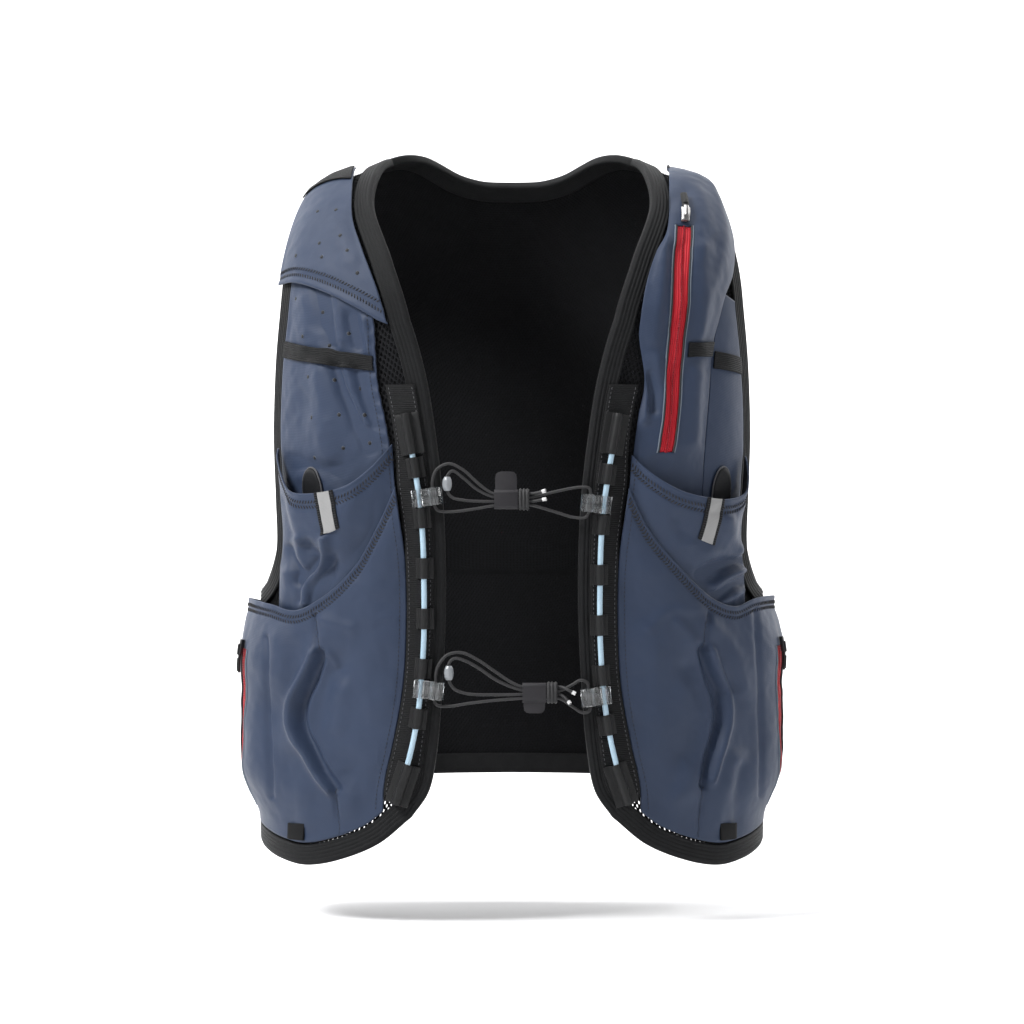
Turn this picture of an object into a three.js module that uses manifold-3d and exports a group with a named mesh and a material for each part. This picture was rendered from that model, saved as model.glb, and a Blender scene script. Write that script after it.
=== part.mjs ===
// Running hydration vest, worn open at the front and closed by two elastic cords.
// Lengths are millimetres. The origin is on the shoulder line, midway between the shoulders.
// +Z is up, the front faces -Y, and +X is the wearer's left.
import * as THREE from 'three';
import { mergeVertices } from 'three/addons/utils/BufferGeometryUtils.js';
import Module from 'manifold-3d';

const wasm = await Module();
wasm.setup();

// Body that the vest is shaped round
const vestDrop = 458;
const halfWidth = 158;
const chestDepth = 122;
const backDepth = 92;
const shoulderRound = 112;
const planPower = 2.3;

// Thicknesses of the cloth goods
const meshThickness = 2;
const clothThickness = 1.2;
const tapeThickness = 1.2;
const bindingThickness = 1;
const elasticThickness = 1;
const labelThickness = 0.8;

// Clearances between pieces that are sewn or laid on each other
const seamClearance = 0.4;
const bindingGap = 0.7;
const cutClearance = 0.2;
const layerLoft = 1.2;
const mouthLoft = 0.6;

// Widths of the edgings
const bindingWidth = 12;
const tapeOverlap = 6;

// Fullness of the pockets, the height of the cloth over a flat pocket
const flaskFullness = 13;
const lowerFullness = 12;
const chestFullness = 8;
const sleeveFullness = 2;
const mouthLand = 14;
const mouthFade = 45;
const tuckDepth = 8;

// Front rails, the loops that hold them and the clips that slide on them
const railDiameter = 3.5;
const railLoopLength = 13;
const railLoopWidth = 11;
const railLoopCount = 6;
const clipLength = 19;
const clipHeight = 11;
const clipWall = 0.9;
const clipSlot = 3.2;
const clipLip = 2.2;
const clipSlotNear = 6.5;
const clipSlotFar = 12;
const loopFootReach = 1.5;
const boreClearance = 0.5;

// Sternum cords
const cordDiameter = 2;
const cordStrands = 4;
const keeperLength = 15;
const keeperWall = 1.1;
const keeperFlapWidth = 13.6;
const keeperFlapCorner = 4;
const wrapTurns = 3;
const beadDiameter = 6.4;
const beadLength = 9;

// Zips
const chestZipWidth = 10;
const zipThickness = 1.6;
const sliderLength = 13;
const sliderWidth = 5.5;
const pullLength = 11;
const pullWidth = 4.5;

// Small parts
const chestLoopWidth = 11;
const labelWidth = 14;
const labelLength = 28;
const flaskTabWidth = 15;
const flaskTabLength = 19;
const shoulderTabLength = 7;
const shoulderTabWidth = 9;
const hemTabWidth = 14;
const hemTabLength = 11;
const hemTabThickness = 1.6;

// Heights above the body of each layer, worked out from the thicknesses
const bindingTop = meshThickness + bindingGap + bindingThickness;
const clothBase = meshThickness + layerLoft;
const secondBase = Math.max(clothBase + clothThickness + layerLoft, bindingTop + seamClearance);
const mouthBase = secondBase + clothThickness + mouthLoft;
const tapeBase = bindingTop + seamClearance;
const tapeTop = tapeBase + tapeThickness;
const railBore = railDiameter + 2 * boreClearance;
const clipThickness = railBore + 2 * clipWall;
const railHeight = tapeTop + seamClearance + clipThickness / 2;

const radians = Math.PI / 180;
const turnStep = 0.5;
const downStep = 1;

// Trunk from the shoulder line to the hem: shares of the drop, the half width and the two depths
const trunkRows = [
  { at: 0, wide: 0.98, front: 1, back: 1 },
  { at: 0.25, wide: 1, front: 1, back: 1 },
  { at: 0.5, wide: 1.01, front: 0.98, back: 0.97 },
  { at: 0.75, wide: 1.03, front: 0.93, back: 0.92 },
  { at: 1, wide: 1.02, front: 0.9, back: 0.9 },
];

// Shoulder line from the neck outwards: share of the half width, and rise as a share of the drop
const shoulderRows = [
  { at: 0, rise: 0.0175 },
  { at: 0.25, rise: 0.0131 },
  { at: 0.44, rise: 0 },
  { at: 0.57, rise: -0.0175 },
  { at: 0.8, rise: -0.0524 },
  { at: 0.95, rise: -0.109 },
  { at: 1.05, rise: -0.157 },
];

// Edges of the vest on the wearer's left.
// turn is the angle round the body in degrees, 0 at the front centre and 180 at the back centre.
// down is the way along the cloth from the shoulder line, as a share of the drop.
const frontEdgeRows = [
  { turn: 27.5, down: 0 },
  { turn: 30.8, down: 0.06 },
  { turn: 31.8, down: 0.12 },
  { turn: 26, down: 0.191 },
  { turn: 21.5, down: 0.242 },
  { turn: 17.4, down: 0.322 },
  { turn: 14.8, down: 0.416 },
  { turn: 13.2, down: 0.51 },
  { turn: 12.6, down: 0.63 },
  { turn: 13, down: 0.72 },
  { turn: 14.5, down: 0.84 },
  { turn: 16.4, down: 0.895 },
  { turn: 20.3, down: 0.929 },
];
const frontHemRows = [
  { turn: 20.3, down: 0.929 },
  { turn: 28.5, down: 0.966 },
  { turn: 39.2, down: 0.989 },
  { turn: 51.4, down: 1 },
  { turn: 63.9, down: 0.994 },
  { turn: 74.3, down: 0.985 },
  { turn: 90, down: 0.973 },
];
const backHemRows = [
  { turn: 90, down: 0.973 },
  { turn: 103, down: 0.95 },
  { turn: 120, down: 0.922 },
  { turn: 140, down: 0.903 },
  { turn: 160, down: 0.895 },
  { turn: 180, down: 0.893 },
];
const frontArmholeRows = [
  { turn: 51.7, down: 0 },
  { turn: 56.2, down: 0.057 },
  { turn: 60.6, down: 0.107 },
  { turn: 65, down: 0.172 },
  { turn: 66.8, down: 0.23 },
  { turn: 69.3, down: 0.298 },
  { turn: 70.5, down: 0.376 },
  { turn: 70.3, down: 0.414 },
  { turn: 68, down: 0.492 },
  { turn: 66.5, down: 0.56 },
  { turn: 70, down: 0.597 },
  { turn: 79, down: 0.617 },
  { turn: 90, down: 0.622 },
];
const backArmholeRows = [
  { turn: 90, down: 0.622 },
  { turn: 99, down: 0.612 },
  { turn: 106, down: 0.58 },
  { turn: 110, down: 0.52 },
  { turn: 112, down: 0.42 },
  { turn: 113.5, down: 0.3 },
  { turn: 117, down: 0.2 },
  { turn: 122, down: 0.1 },
  { turn: 128.3, down: 0 },
];
const backNeckRows = [
  { turn: 152.5, down: 0 },
  { turn: 157, down: 0.014 },
  { turn: 161.2, down: 0.036 },
  { turn: 165.8, down: 0.064 },
  { turn: 169.6, down: 0.082 },
  { turn: 174.5, down: 0.093 },
  { turn: 180, down: 0.096 },
];

// Line where the front tape meets the pockets
const tapeLineRows = [
  { turn: 26.4, down: 0.333 },
  { turn: 25, down: 0.37 },
  { turn: 23.9, down: 0.41 },
  { turn: 23.3, down: 0.471 },
  { turn: 21.3, down: 0.555 },
  { turn: 20.6, down: 0.66 },
  { turn: 21.3, down: 0.75 },
  { turn: 24, down: 0.835 },
  { turn: 26, down: 0.883 },
  { turn: 26.6, down: 0.94 },
];
const tapeEndShare = 0.94;

// Path of the rail
const railRows = [
  { turn: 20.4, down: 0.395 },
  { turn: 18.3, down: 0.464 },
  { turn: 17, down: 0.53 },
  { turn: 16.5, down: 0.6 },
  { turn: 16.5, down: 0.7 },
  { turn: 18, down: 0.8 },
  { turn: 20.6, down: 0.868 },
  { turn: 22, down: 0.893 },
];

// Mouths of the pockets, from the tape outwards
const flaskMouthRight = [
  { turn: 24.3, down: 0.415 },
  { turn: 28.5, down: 0.446 },
  { turn: 33.8, down: 0.471 },
  { turn: 42.6, down: 0.482 },
  { turn: 50.5, down: 0.478 },
  { turn: 56, down: 0.45 },
  { turn: 62.5, down: 0.419 },
];
const flaskMouthLeft = [
  { turn: 24.3, down: 0.43 },
  { turn: 27.9, down: 0.452 },
  { turn: 34.3, down: 0.476 },
  { turn: 40.3, down: 0.486 },
  { turn: 49, down: 0.49 },
  { turn: 57.5, down: 0.478 },
  { turn: 63.5, down: 0.43 },
];
const lowerMouthRight = [
  { turn: 23.5, down: 0.473 },
  { turn: 27.5, down: 0.525 },
  { turn: 32.8, down: 0.578 },
  { turn: 41, down: 0.62 },
  { turn: 51.4, down: 0.645 },
  { turn: 62.7, down: 0.638 },
  { turn: 80, down: 0.632 },
  { turn: 100, down: 0.636 },
  { turn: 116, down: 0.645 },
];
const lowerMouthLeft = [
  { turn: 23.5, down: 0.476 },
  { turn: 28.1, down: 0.53 },
  { turn: 35.5, down: 0.578 },
  { turn: 45.4, down: 0.625 },
  { turn: 54.5, down: 0.64 },
  { turn: 64, down: 0.63 },
  { turn: 80, down: 0.628 },
  { turn: 100, down: 0.634 },
  { turn: 116, down: 0.645 },
];
const lowerBackTurn = 116;

// Where pieces meet the armhole, and the two edges of the side zip, as shares
const sleeveTopDown = 0.165;
const sidePanelTopDown = 0.215;
const chestFootDown = 0.5;
const flaskFootDown = 0.585;
const sideZipShares = [0.66, 0.74];
const zipPlaceShare = 0.4;

// Pieces of the wearer's right chest
const flapInnerRows = [
  { turn: 37.5, down: 0.004 },
  { turn: 37.2, down: 0.09 },
  { turn: 36.3, down: 0.138 },
  { turn: 32.9, down: 0.177 },
  { turn: 28.4, down: 0.219 },
  { turn: 25.7, down: 0.25 },
];
const flapHemRows = [
  { turn: 25.7, down: 0.25 },
  { turn: 32, down: 0.236 },
  { turn: 39.6, down: 0.221 },
  { turn: 47.3, down: 0.208 },
  { turn: 55.4, down: 0.196 },
  { turn: 63.6, down: 0.188 },
];
const sleeveInnerRows = [
  { turn: 31.5, down: 0.2 },
  { turn: 29.7, down: 0.25 },
  { turn: 29.1, down: 0.3 },
  { turn: 28.5, down: 0.333 },
  { turn: 26.6, down: 0.38 },
  { turn: 25.3, down: 0.42 },
  { turn: 24.6, down: 0.5 },
];

// Pieces of the wearer's left chest
const chestPocketInnerRows = [
  { turn: 37.5, down: 0.004 },
  { turn: 36.3, down: 0.088 },
  { turn: 34.6, down: 0.155 },
  { turn: 31.1, down: 0.182 },
  { turn: 27.9, down: 0.219 },
  { turn: 26.6, down: 0.26 },
  { turn: 28, down: 0.329 },
  { turn: 26.3, down: 0.378 },
  { turn: 24.9, down: 0.44 },
  { turn: 24.8, down: 0.5 },
];
const chestPocketOuterRows = [
  { turn: 51.2, down: 0.004 },
  { turn: 56.5, down: 0.075 },
  { turn: 60.2, down: 0.13 },
  { turn: 58.5, down: 0.181 },
  { turn: 53.5, down: 0.221 },
  { turn: 50, down: 0.274 },
  { turn: 48, down: 0.352 },
  { turn: 46, down: 0.436 },
  { turn: 45, down: 0.5 },
];
const chestZipRows = [
  { turn: 39.3, down: 0.147 },
  { turn: 37.2, down: 0.211 },
  { turn: 36.4, down: 0.251 },
  { turn: 35.2, down: 0.314 },
  { turn: 34.3, down: 0.377 },
  { turn: 32.3, down: 0.443 },
];

// Folds of each sheet. Places and widths are shares of the sheet, from its inner top corner.
// height is a share of the sheet's fullness, and a dent has a height below zero.
const sleeveFolds = [
  { fromAcross: 0.25, fromDown: 0.15, toAcross: 0.45, toDown: 0.45, width: 0.12, height: 0.9 },
  { fromAcross: 0.3, fromDown: 0.55, toAcross: 0.75, toDown: 0.95, width: 0.14, height: 1 },
];
const flaskFolds = [
  { fromAcross: 0.85, fromDown: 0.25, toAcross: 0.55, toDown: 0.75, width: 0.12, height: -0.4 },
  { fromAcross: 0.95, fromDown: 0.55, toAcross: 0.7, toDown: 0.95, width: 0.1, height: 0.3 },
];
const lowerFoldsRight = [
  { fromAcross: 0.34, fromDown: 0.02, toAcross: 0.42, toDown: 0.45, width: 0.06, height: -0.35 },
  { fromAcross: 0.42, fromDown: 0.45, toAcross: 0.3, toDown: 0.9, width: 0.07, height: -0.3 },
  { fromAcross: 0.5, fromDown: 0.25, toAcross: 0.52, toDown: 0.7, width: 0.08, height: 0.2 },
];
const lowerFoldsLeft = [
  { fromAcross: 0.36, fromDown: 0.02, toAcross: 0.36, toDown: 0.35, width: 0.06, height: -0.35 },
  { fromAcross: 0.36, fromDown: 0.35, toAcross: 0.42, toDown: 0.6, width: 0.07, height: -0.3 },
  { fromAcross: 0.26, fromDown: 0.3, toAcross: 0.3, toDown: 0.85, width: 0.07, height: 0.25 },
];
const chestFolds = [
  { fromAcross: 0.75, fromDown: 0.1, toAcross: 0.7, toDown: 0.5, width: 0.1, height: 0.2 },
  { fromAcross: 0.2, fromDown: 0.3, toAcross: 0.3, toDown: 0.8, width: 0.1, height: -0.25 },
];

// Steps that the sheets and edgings are divided into
const armholeSideSteps = 9;
const armholeBendSteps = 6;
const armholeSteps = armholeSideSteps + armholeBendSteps;
const armholeBendShare = 0.75;
const seamSteps = 5;
const panelColumns = 8;
const ridgeSteps = 2;
const neckSteps = 4;
const backArmholeSteps = 10;
const backHemSteps = ridgeSteps + neckSteps;
const railSteps = 14;
const railSides = 10;
const cordSides = 8;
const cordSteps = 76;
const boreSides = 10;
const sleeveSides = 10;
const beadSides = 10;
const beadSteps = 4;

const sideSeamTurn = 90;
const seamTurnGap = 0.06;

// A value between the rows of a table, on a smooth line through them
function between(rows, at, column) {
  const last = rows.length - 1;
  const place = Math.min(Math.max(at, rows[0].at), rows[last].at);
  let index = 0;
  while (index < last - 1 && rows[index + 1].at < place) {
    index += 1;
  }
  const slope = (row) => {
    const before = rows[Math.max(row - 1, 0)];
    const after = rows[Math.min(row + 1, last)];
    return (after[column] - before[column]) / (after.at - before.at);
  };
  const from = rows[index];
  const to = rows[index + 1];
  const run = to.at - from.at;
  const t = (place - from.at) / run;
  const ease = t * t * (3 - 2 * t);
  const start = run * slope(index) * t * (1 - t) * (1 - t);
  const end = run * slope(index + 1) * t * t * (t - 1);
  return from[column] * (1 - ease) + to[column] * ease + start + end;
}

// A point of the body from its turn in degrees and its way down in millimetres
function trunkPoint(turn, drop) {
  const angle = turn * radians;
  const sine = Math.sin(angle);
  const cosine = Math.cos(angle);
  const share = Math.abs(drop) / vestDrop;
  const wide = halfWidth * between(trunkRows, share, 'wide');
  const column = cosine >= 0 ? 'front' : 'back';
  const deep = (cosine >= 0 ? chestDepth : backDepth) * between(trunkRows, share, column);
  const x = wide * Math.sign(sine) * Math.abs(sine) ** (2 / planPower);
  const roll = Math.min(Math.max(drop / shoulderRound, -1), 1) * 90 * radians;
  const y = -deep * Math.sign(cosine) * Math.abs(cosine) ** (2 / planPower) * Math.sin(roll);
  const ridge = vestDrop * between(shoulderRows, Math.abs(x) / halfWidth, 'rise');
  const rounded = ridge + (1 - Math.cos(roll)) * (-shoulderRound - ridge);
  return new THREE.Vector3(x, y, drop < shoulderRound ? rounded : -drop);
}

// A place on the cloth goes over the shoulder line where its way down is below zero
function overShoulder(place) {
  if (place.down >= 0) {
    return place;
  }
  const sign = Math.sign(place.turn);
  return { turn: sign * 180 - place.turn, down: -place.down };
}

// The two directions of the body at a place, per degree and per millimetre, and its outward normal
function bodyFrame(place) {
  const drop = place.down * vestDrop;
  const left = trunkPoint(place.turn - turnStep, drop);
  const right = trunkPoint(place.turn + turnStep, drop);
  const above = trunkPoint(place.turn, Math.max(drop - downStep, 0));
  const below = trunkPoint(place.turn, drop + downStep);
  const across = right.sub(left).divideScalar(2 * turnStep);
  const downward = below.sub(above).divideScalar(drop + downStep - Math.max(drop - downStep, 0));
  const normal = new THREE.Vector3().crossVectors(downward, across).normalize();
  return { across, downward, normal };
}

// A point at a height above the body
function bodyPoint(place, height = 0) {
  const here = overShoulder(place);
  const { normal } = bodyFrame(here);
  return trunkPoint(here.turn, here.down * vestDrop).addScaledVector(normal, height);
}

// Moves a place along the body by a vector in millimetres
function movedPlace(place, vector) {
  const { across, downward } = bodyFrame(place);
  const aa = across.dot(across);
  const ad = across.dot(downward);
  const dd = downward.dot(downward);
  const va = vector.dot(across);
  const vd = vector.dot(downward);
  const det = aa * dd - ad * ad;
  const turn = (va * dd - vd * ad) / det;
  const drop = (vd * aa - va * ad) / det;
  return { turn: place.turn + turn, down: place.down + drop / vestDrop };
}

// A smooth line through rows of places, from 0 at its first row to 1 at its last
function lineThrough(rows) {
  const perDegree = halfWidth * radians;
  const points = rows.map((row) => new THREE.Vector3(row.turn * perDegree, row.down * vestDrop, 0));
  const curve = new THREE.CatmullRomCurve3(points, false, 'centripetal');
  return (t) => {
    const point = curve.getPointAt(Math.min(Math.max(t, 0), 1));
    return { turn: point.x / perDegree, down: point.y / vestDrop };
  };
}

// Lines joined end to end, each taking its own number of steps
function joinedLine(parts) {
  const total = parts.reduce((sum, part) => sum + part.steps, 0);
  return (t) => {
    let left = t * total;
    for (const part of parts) {
      if (left <= part.steps + 1e-9) {
        return part.line(left / part.steps);
      }
      left -= part.steps;
    }
    return parts[parts.length - 1].line(1);
  };
}

// A piece of a line between two of its shares
function partOfLine(line, from, to) {
  return (t) => line(from + (to - from) * t);
}

// Sideways vector of a line, pointing to the right of its travel seen from outside the body
function sidewaysAt(line, t) {
  const reach = 0.01;
  const before = bodyPoint(line(Math.max(t - reach, 0)));
  const after = bodyPoint(line(Math.min(t + reach, 1)));
  const along = after.sub(before).normalize();
  const { normal } = bodyFrame(overShoulder(line(t)));
  return new THREE.Vector3().crossVectors(normal, along).normalize();
}

// A line moved sideways by a distance
function insetLine(line, distance, samples = 24) {
  const rows = [];
  for (let index = 0; index <= samples; index += 1) {
    const t = index / samples;
    rows.push(movedPlace(line(t), sidewaysAt(line, t).multiplyScalar(distance)));
  }
  return lineThrough(rows);
}

// A sheet's places between its four edges
function sheetBetween({ top, bottom, inner, outer }) {
  const corners = [inner(0), outer(0), inner(1), outer(1)];
  const mix = (u, v, key) => {
    const ruledAcross = (1 - u) * inner(v)[key] + u * outer(v)[key];
    const ruledDown = (1 - v) * top(u)[key] + v * bottom(u)[key];
    const cornersTop = (1 - u) * corners[0][key] + u * corners[1][key];
    const cornersBottom = (1 - u) * corners[2][key] + u * corners[3][key];
    return ruledAcross + ruledDown - (1 - v) * cornersTop - v * cornersBottom;
  };
  return (u, v) => ({ turn: mix(u, v, 'turn'), down: mix(u, v, 'down') });
}

// A closed solid from an under and an upper grid of points, with cells left out for a slot
function shellGeometry(under, upper, isOpen = () => false) {
  const rows = upper.length;
  const columns = upper[0].length;
  const corners = [];
  const faces = [];
  const index = (row, column, side) => (row * columns + column) * 2 + side;
  for (let row = 0; row < rows; row += 1) {
    for (let column = 0; column < columns; column += 1) {
      corners.push(...under[row][column].toArray(), ...upper[row][column].toArray());
    }
  }
  const filled = (row, column) =>
    row >= 0 && column >= 0 && row < rows - 1 && column < columns - 1 && !isOpen(row, column);
  const quad = (a, b, c, d) => faces.push(a, b, c, a, c, d);
  for (let row = 0; row < rows - 1; row += 1) {
    for (let column = 0; column < columns - 1; column += 1) {
      if (filled(row, column)) {
        const ring = [[row, column], [row, column + 1], [row + 1, column + 1], [row + 1, column]];
        const beyond = [[row - 1, column], [row, column + 1], [row + 1, column], [row, column - 1]];
        quad(...ring.map(([r, c]) => index(r, c, 0)));
        quad(...ring.map(([r, c]) => index(r, c, 1)).reverse());
        for (let edge = 0; edge < 4; edge += 1) {
          const from = ring[edge];
          const to = ring[(edge + 1) % 4];
          if (!filled(...beyond[edge])) {
            quad(index(...to, 0), index(...from, 0), index(...from, 1), index(...to, 1));
          }
        }
      }
    }
  }
  return facingOut(corners, faces);
}

// A geometry from corners and faces, turned round if its faces point inwards
function facingOut(corners, faces) {
  const corner = (index) => new THREE.Vector3().fromArray(corners, index * 3);
  let volume = 0;
  for (let face = 0; face < faces.length; face += 3) {
    const [a, b, c] = faces.slice(face, face + 3).map(corner);
    volume += a.dot(b.cross(c));
  }
  const turned = [...faces];
  if (volume < 0) {
    for (let face = 0; face < faces.length; face += 3) {
      turned[face + 1] = faces[face + 2];
      turned[face + 2] = faces[face + 1];
    }
  }
  const geometry = new THREE.BufferGeometry();
  geometry.setAttribute('position', new THREE.Float32BufferAttribute(corners, 3));
  geometry.setIndex(turned);
  return mergeVertices(geometry, 1e-4);
}

// The other side's copy of a geometry
function mirroredAcross(geometry) {
  const corners = Array.from(geometry.getAttribute('position').array);
  for (let index = 0; index < corners.length; index += 3) {
    corners[index] = -corners[index];
  }
  return facingOut(corners, Array.from(geometry.index.array));
}

// Even shares from 0 to 1
function evenShares(count) {
  return Array.from({ length: count + 1 }, (_, index) => index / count);
}

// Shares with a narrow band at either end, as wide as the edging there
function bandedShares(shares, startBand, endBand) {
  const inner = shares.filter((share) => share > 1.2 * startBand && share < 1 - 1.2 * endBand);
  const start = startBand > 0 ? [0, startBand] : [0];
  const end = endBand > 0 ? [1 - endBand, 1] : [1];
  return [...start, ...inner.filter((share) => share > 0 && share < 1), ...end];
}

// Length of a line of points over the body
function lengthOver(placeAt, samples = 8) {
  const points = evenShares(samples).map((t) => bodyPoint(placeAt(t)));
  return points.slice(1).reduce((sum, point, index) => sum + point.distanceTo(points[index]), 0);
}

// Spreads even columns so that the first and the last are as wide as the edging
function edgedColumns(place, columns) {
  return (u, v) => {
    const length = lengthOver((t) => place(t, v));
    const band = Math.min((bindingWidth + seamClearance) / length, 0.3);
    const step = 1 / columns;
    if (u <= step) {
      return (u / step) * band;
    }
    if (u >= 1 - step) {
      return 1 - ((1 - u) / step) * band;
    }
    return band + ((u - step) / (1 - 2 * step)) * (1 - 2 * band);
  };
}

// A sheet of cloth: its places, its lower height and its thickness, over shares across and down
function makeSheet({ place, across, down, height, thickness, isOpen }) {
  const grid = (lift) =>
    down.map((v) => across.map((u) => bodyPoint(place(u, v), height(u, v) + lift)));
  const under = grid(0);
  const upper = grid(thickness);
  return { place, across, down, under, upper, geometry: shellGeometry(under, upper, isOpen) };
}

// A point on a sheet's outer face, between its grid corners, lifted along the body's normal
function onSheet(sheet, u, v, lift) {
  const cellOf = (shares, at) => {
    let index = 0;
    while (index < shares.length - 2 && shares[index + 1] < at) {
      index += 1;
    }
    return [index, (at - shares[index]) / (shares[index + 1] - shares[index])];
  };
  const [column, fu] = cellOf(sheet.across, u);
  const [row, fv] = cellOf(sheet.down, v);
  const top = sheet.upper[row][column].clone().lerp(sheet.upper[row][column + 1], fu);
  const bottom = sheet.upper[row + 1][column].clone().lerp(sheet.upper[row + 1][column + 1], fu);
  const { normal } = bodyFrame(overShoulder(sheet.place(u, v)));
  return top.lerp(bottom, fv).addScaledVector(normal, lift);
}

// Shares from one to another, taking in the grid lines between them
function sharesBetween(shares, from, to) {
  const least = 0.01;
  return [from, ...shares.filter((share) => share > from + least && share < to - least), to];
}

// A strip that lies on a sheet, following its grid lines
function stripOnSheet(sheet, { fromU, toU, fromV, toV, lift, thickness }) {
  const across = sharesBetween(sheet.across, fromU, toU);
  const down = sharesBetween(sheet.down, fromV, toV);
  const grid = (extra) => down.map((v) => across.map((u) => onSheet(sheet, u, v, lift + extra)));
  return shellGeometry(grid(0), grid(thickness));
}

// The share of a sheet that a length in millimetres takes, across or down, near a place on it
function shareAcross(sheet, u, v, length) {
  const reach = 0.05;
  const run = bodyPoint(sheet.place(u - reach, v)).distanceTo(bodyPoint(sheet.place(u + reach, v)));
  return (length * 2 * reach) / run;
}
function shareDown(sheet, u, v, length) {
  const reach = 0.05;
  const run = bodyPoint(sheet.place(u, v - reach)).distanceTo(bodyPoint(sheet.place(u, v + reach)));
  return (length * 2 * reach) / run;
}

// A closed solid from closed sections of points, set round a closed line
function ringGeometry(sections) {
  const corners = sections.flat().flatMap((point) => point.toArray());
  const faces = [];
  const count = sections.length;
  const sides = sections[0].length;
  for (let index = 0; index < count; index += 1) {
    const next = (index + 1) % count;
    for (let side = 0; side < sides; side += 1) {
      const after = (side + 1) % sides;
      const a = index * sides + side;
      const b = index * sides + after;
      const c = next * sides + after;
      const d = next * sides + side;
      faces.push(a, b, c, a, c, d);
    }
  }
  return facingOut(corners, faces);
}

// An edging: a section of steps in from the edge and heights above the body, along a closed line
function edgingGeometry(places, section) {
  const count = places.length;
  return ringGeometry(
    places.map((place, index) => {
      const before = bodyPoint(places[(index + count - 1) % count]);
      const after = bodyPoint(places[(index + 1) % count]);
      const along = after.sub(before).normalize();
      const here = overShoulder(place);
      const { normal } = bodyFrame(here);
      const inward = new THREE.Vector3().crossVectors(normal, along).normalize();
      return section.map(({ step, height }) =>
        bodyPoint(movedPlace(here, inward.clone().multiplyScalar(step)), height),
      );
    }),
  );
}

// Folded tape round an edge: an outer leg, a bridge beyond the edge and an inner leg.
// grown makes it thicker on its inner faces, for the room that it needs in a panel.
function bindingSection(grown = 0) {
  const near = grown - seamClearance;
  const far = -seamClearance - bindingThickness;
  const innerHigh = grown - bindingGap;
  const innerLow = -bindingGap - bindingThickness;
  const outerLow = meshThickness + bindingGap - grown;
  const reach = bindingWidth + grown;
  return [
    { step: reach, height: bindingTop },
    { step: far, height: bindingTop },
    { step: far, height: innerLow },
    { step: reach, height: innerLow },
    { step: reach, height: innerHigh },
    { step: near, height: innerHigh },
    { step: near, height: outerLow },
    { step: reach, height: outerLow },
  ];
}

// A geometry as a solid that can be cut or joined, and the way back
function solidFrom(geometry) {
  const vertProperties = new Float32Array(geometry.getAttribute('position').array);
  const triVerts = new Uint32Array(geometry.index.array);
  return new wasm.Manifold(new wasm.Mesh({ numProp: 3, vertProperties, triVerts }));
}
function geometryFrom(solid) {
  const mesh = solid.getMesh();
  const geometry = new THREE.BufferGeometry();
  geometry.setAttribute('position', new THREE.Float32BufferAttribute(mesh.vertProperties, 3));
  geometry.setIndex(Array.from(mesh.triVerts));
  return geometry;
}

// A panel with room cut into it for its edgings, without the slivers beyond them
function cutFor(geometry, edgings) {
  const section = bindingSection(cutClearance);
  const cutters = edgings.map((places) => solidFrom(edgingGeometry(places, section)));
  const cut = cutters.reduce((solid, cutter) => solid.subtract(cutter), solidFrom(geometry));
  const [panel] = cut.decompose().sort((one, other) => other.volume() - one.volume());
  return geometryFrom(panel);
}

// A geometry with only its places, its shared corners merged
function closedGeometry(geometry) {
  const bare = new THREE.BufferGeometry();
  const source = geometry.index ? geometry.toNonIndexed() : geometry;
  bare.setAttribute('position', source.getAttribute('position').clone());
  return mergeVertices(bare, 1e-4);
}

// A soft rise from 0 to 1
function soft(t) {
  const held = Math.min(Math.max(t, 0), 1);
  return held * held * (3 - 2 * held);
}

// An arch from 0 over 1 back to 0
function arch(t) {
  return Math.max(Math.sin(Math.PI * Math.min(Math.max(t, 0), 1)), 0);
}

// Height of the folds at a place of a sheet, as a share of its fullness
function foldsAt(folds, u, v) {
  return folds.reduce((sum, fold) => {
    const across = fold.toAcross - fold.fromAcross;
    const down = fold.toDown - fold.fromDown;
    const offU = u - fold.fromAcross;
    const offV = v - fold.fromDown;
    const along = (offU * across + offV * down) / (across * across + down * down);
    const held = Math.min(Math.max(along, 0), 1);
    const off = Math.hypot(offU - held * across, offV - held * down);
    return sum + fold.height * Math.exp(-((off / fold.width) ** 2));
  }, 0);
}

// Lines of the vest's edges
const frontEdge = lineThrough(frontEdgeRows);
const frontHem = lineThrough(frontHemRows);
const backHem = lineThrough(backHemRows);
const frontArmhole = lineThrough(frontArmholeRows);
const backArmhole = lineThrough(backArmholeRows);
const backNeck = lineThrough(backNeckRows);
const tapeLine = lineThrough(tapeLineRows);
const armholeInset = bindingWidth + seamClearance;
const shoulderGap = seamClearance / 2 / vestDrop;

function straightLine(from, to) {
  return (t) => ({
    turn: from.turn + (to.turn - from.turn) * t,
    down: from.down + (to.down - from.down) * t,
  });
}

// Keeps a panel's place a hair off the shoulder line and the side seam
function offSeams(place, seamSide) {
  const limit = sideSeamTurn + seamSide * seamTurnGap;
  const turn = seamSide < 0 ? Math.min(place.turn, limit) : Math.max(place.turn, limit);
  return { turn, down: Math.max(place.down, shoulderGap) };
}

const material = (color, roughness, metalness = 0) =>
  new THREE.MeshStandardMaterial({ color, roughness, metalness });
const finishes = {
  navyCloth: material(0x4a5a78, 0.75),
  blackMesh: material(0x16171a, 0.9),
  blackTape: material(0x222426, 0.8),
  redZip: material(0xd3162f, 0.55),
  railPlastic: material(0xa9c4d8, 0.35),
  clearPlastic: material(0xe4eaee, 0.15),
  cordElastic: material(0x202022, 0.7),
  labelCloth: material(0xa9a9a9, 0.6),
  darkKeeper: material(0x39363d, 0.85),
  blackMetal: material(0x2b2c2f, 0.4, 0.6),
};

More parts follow.
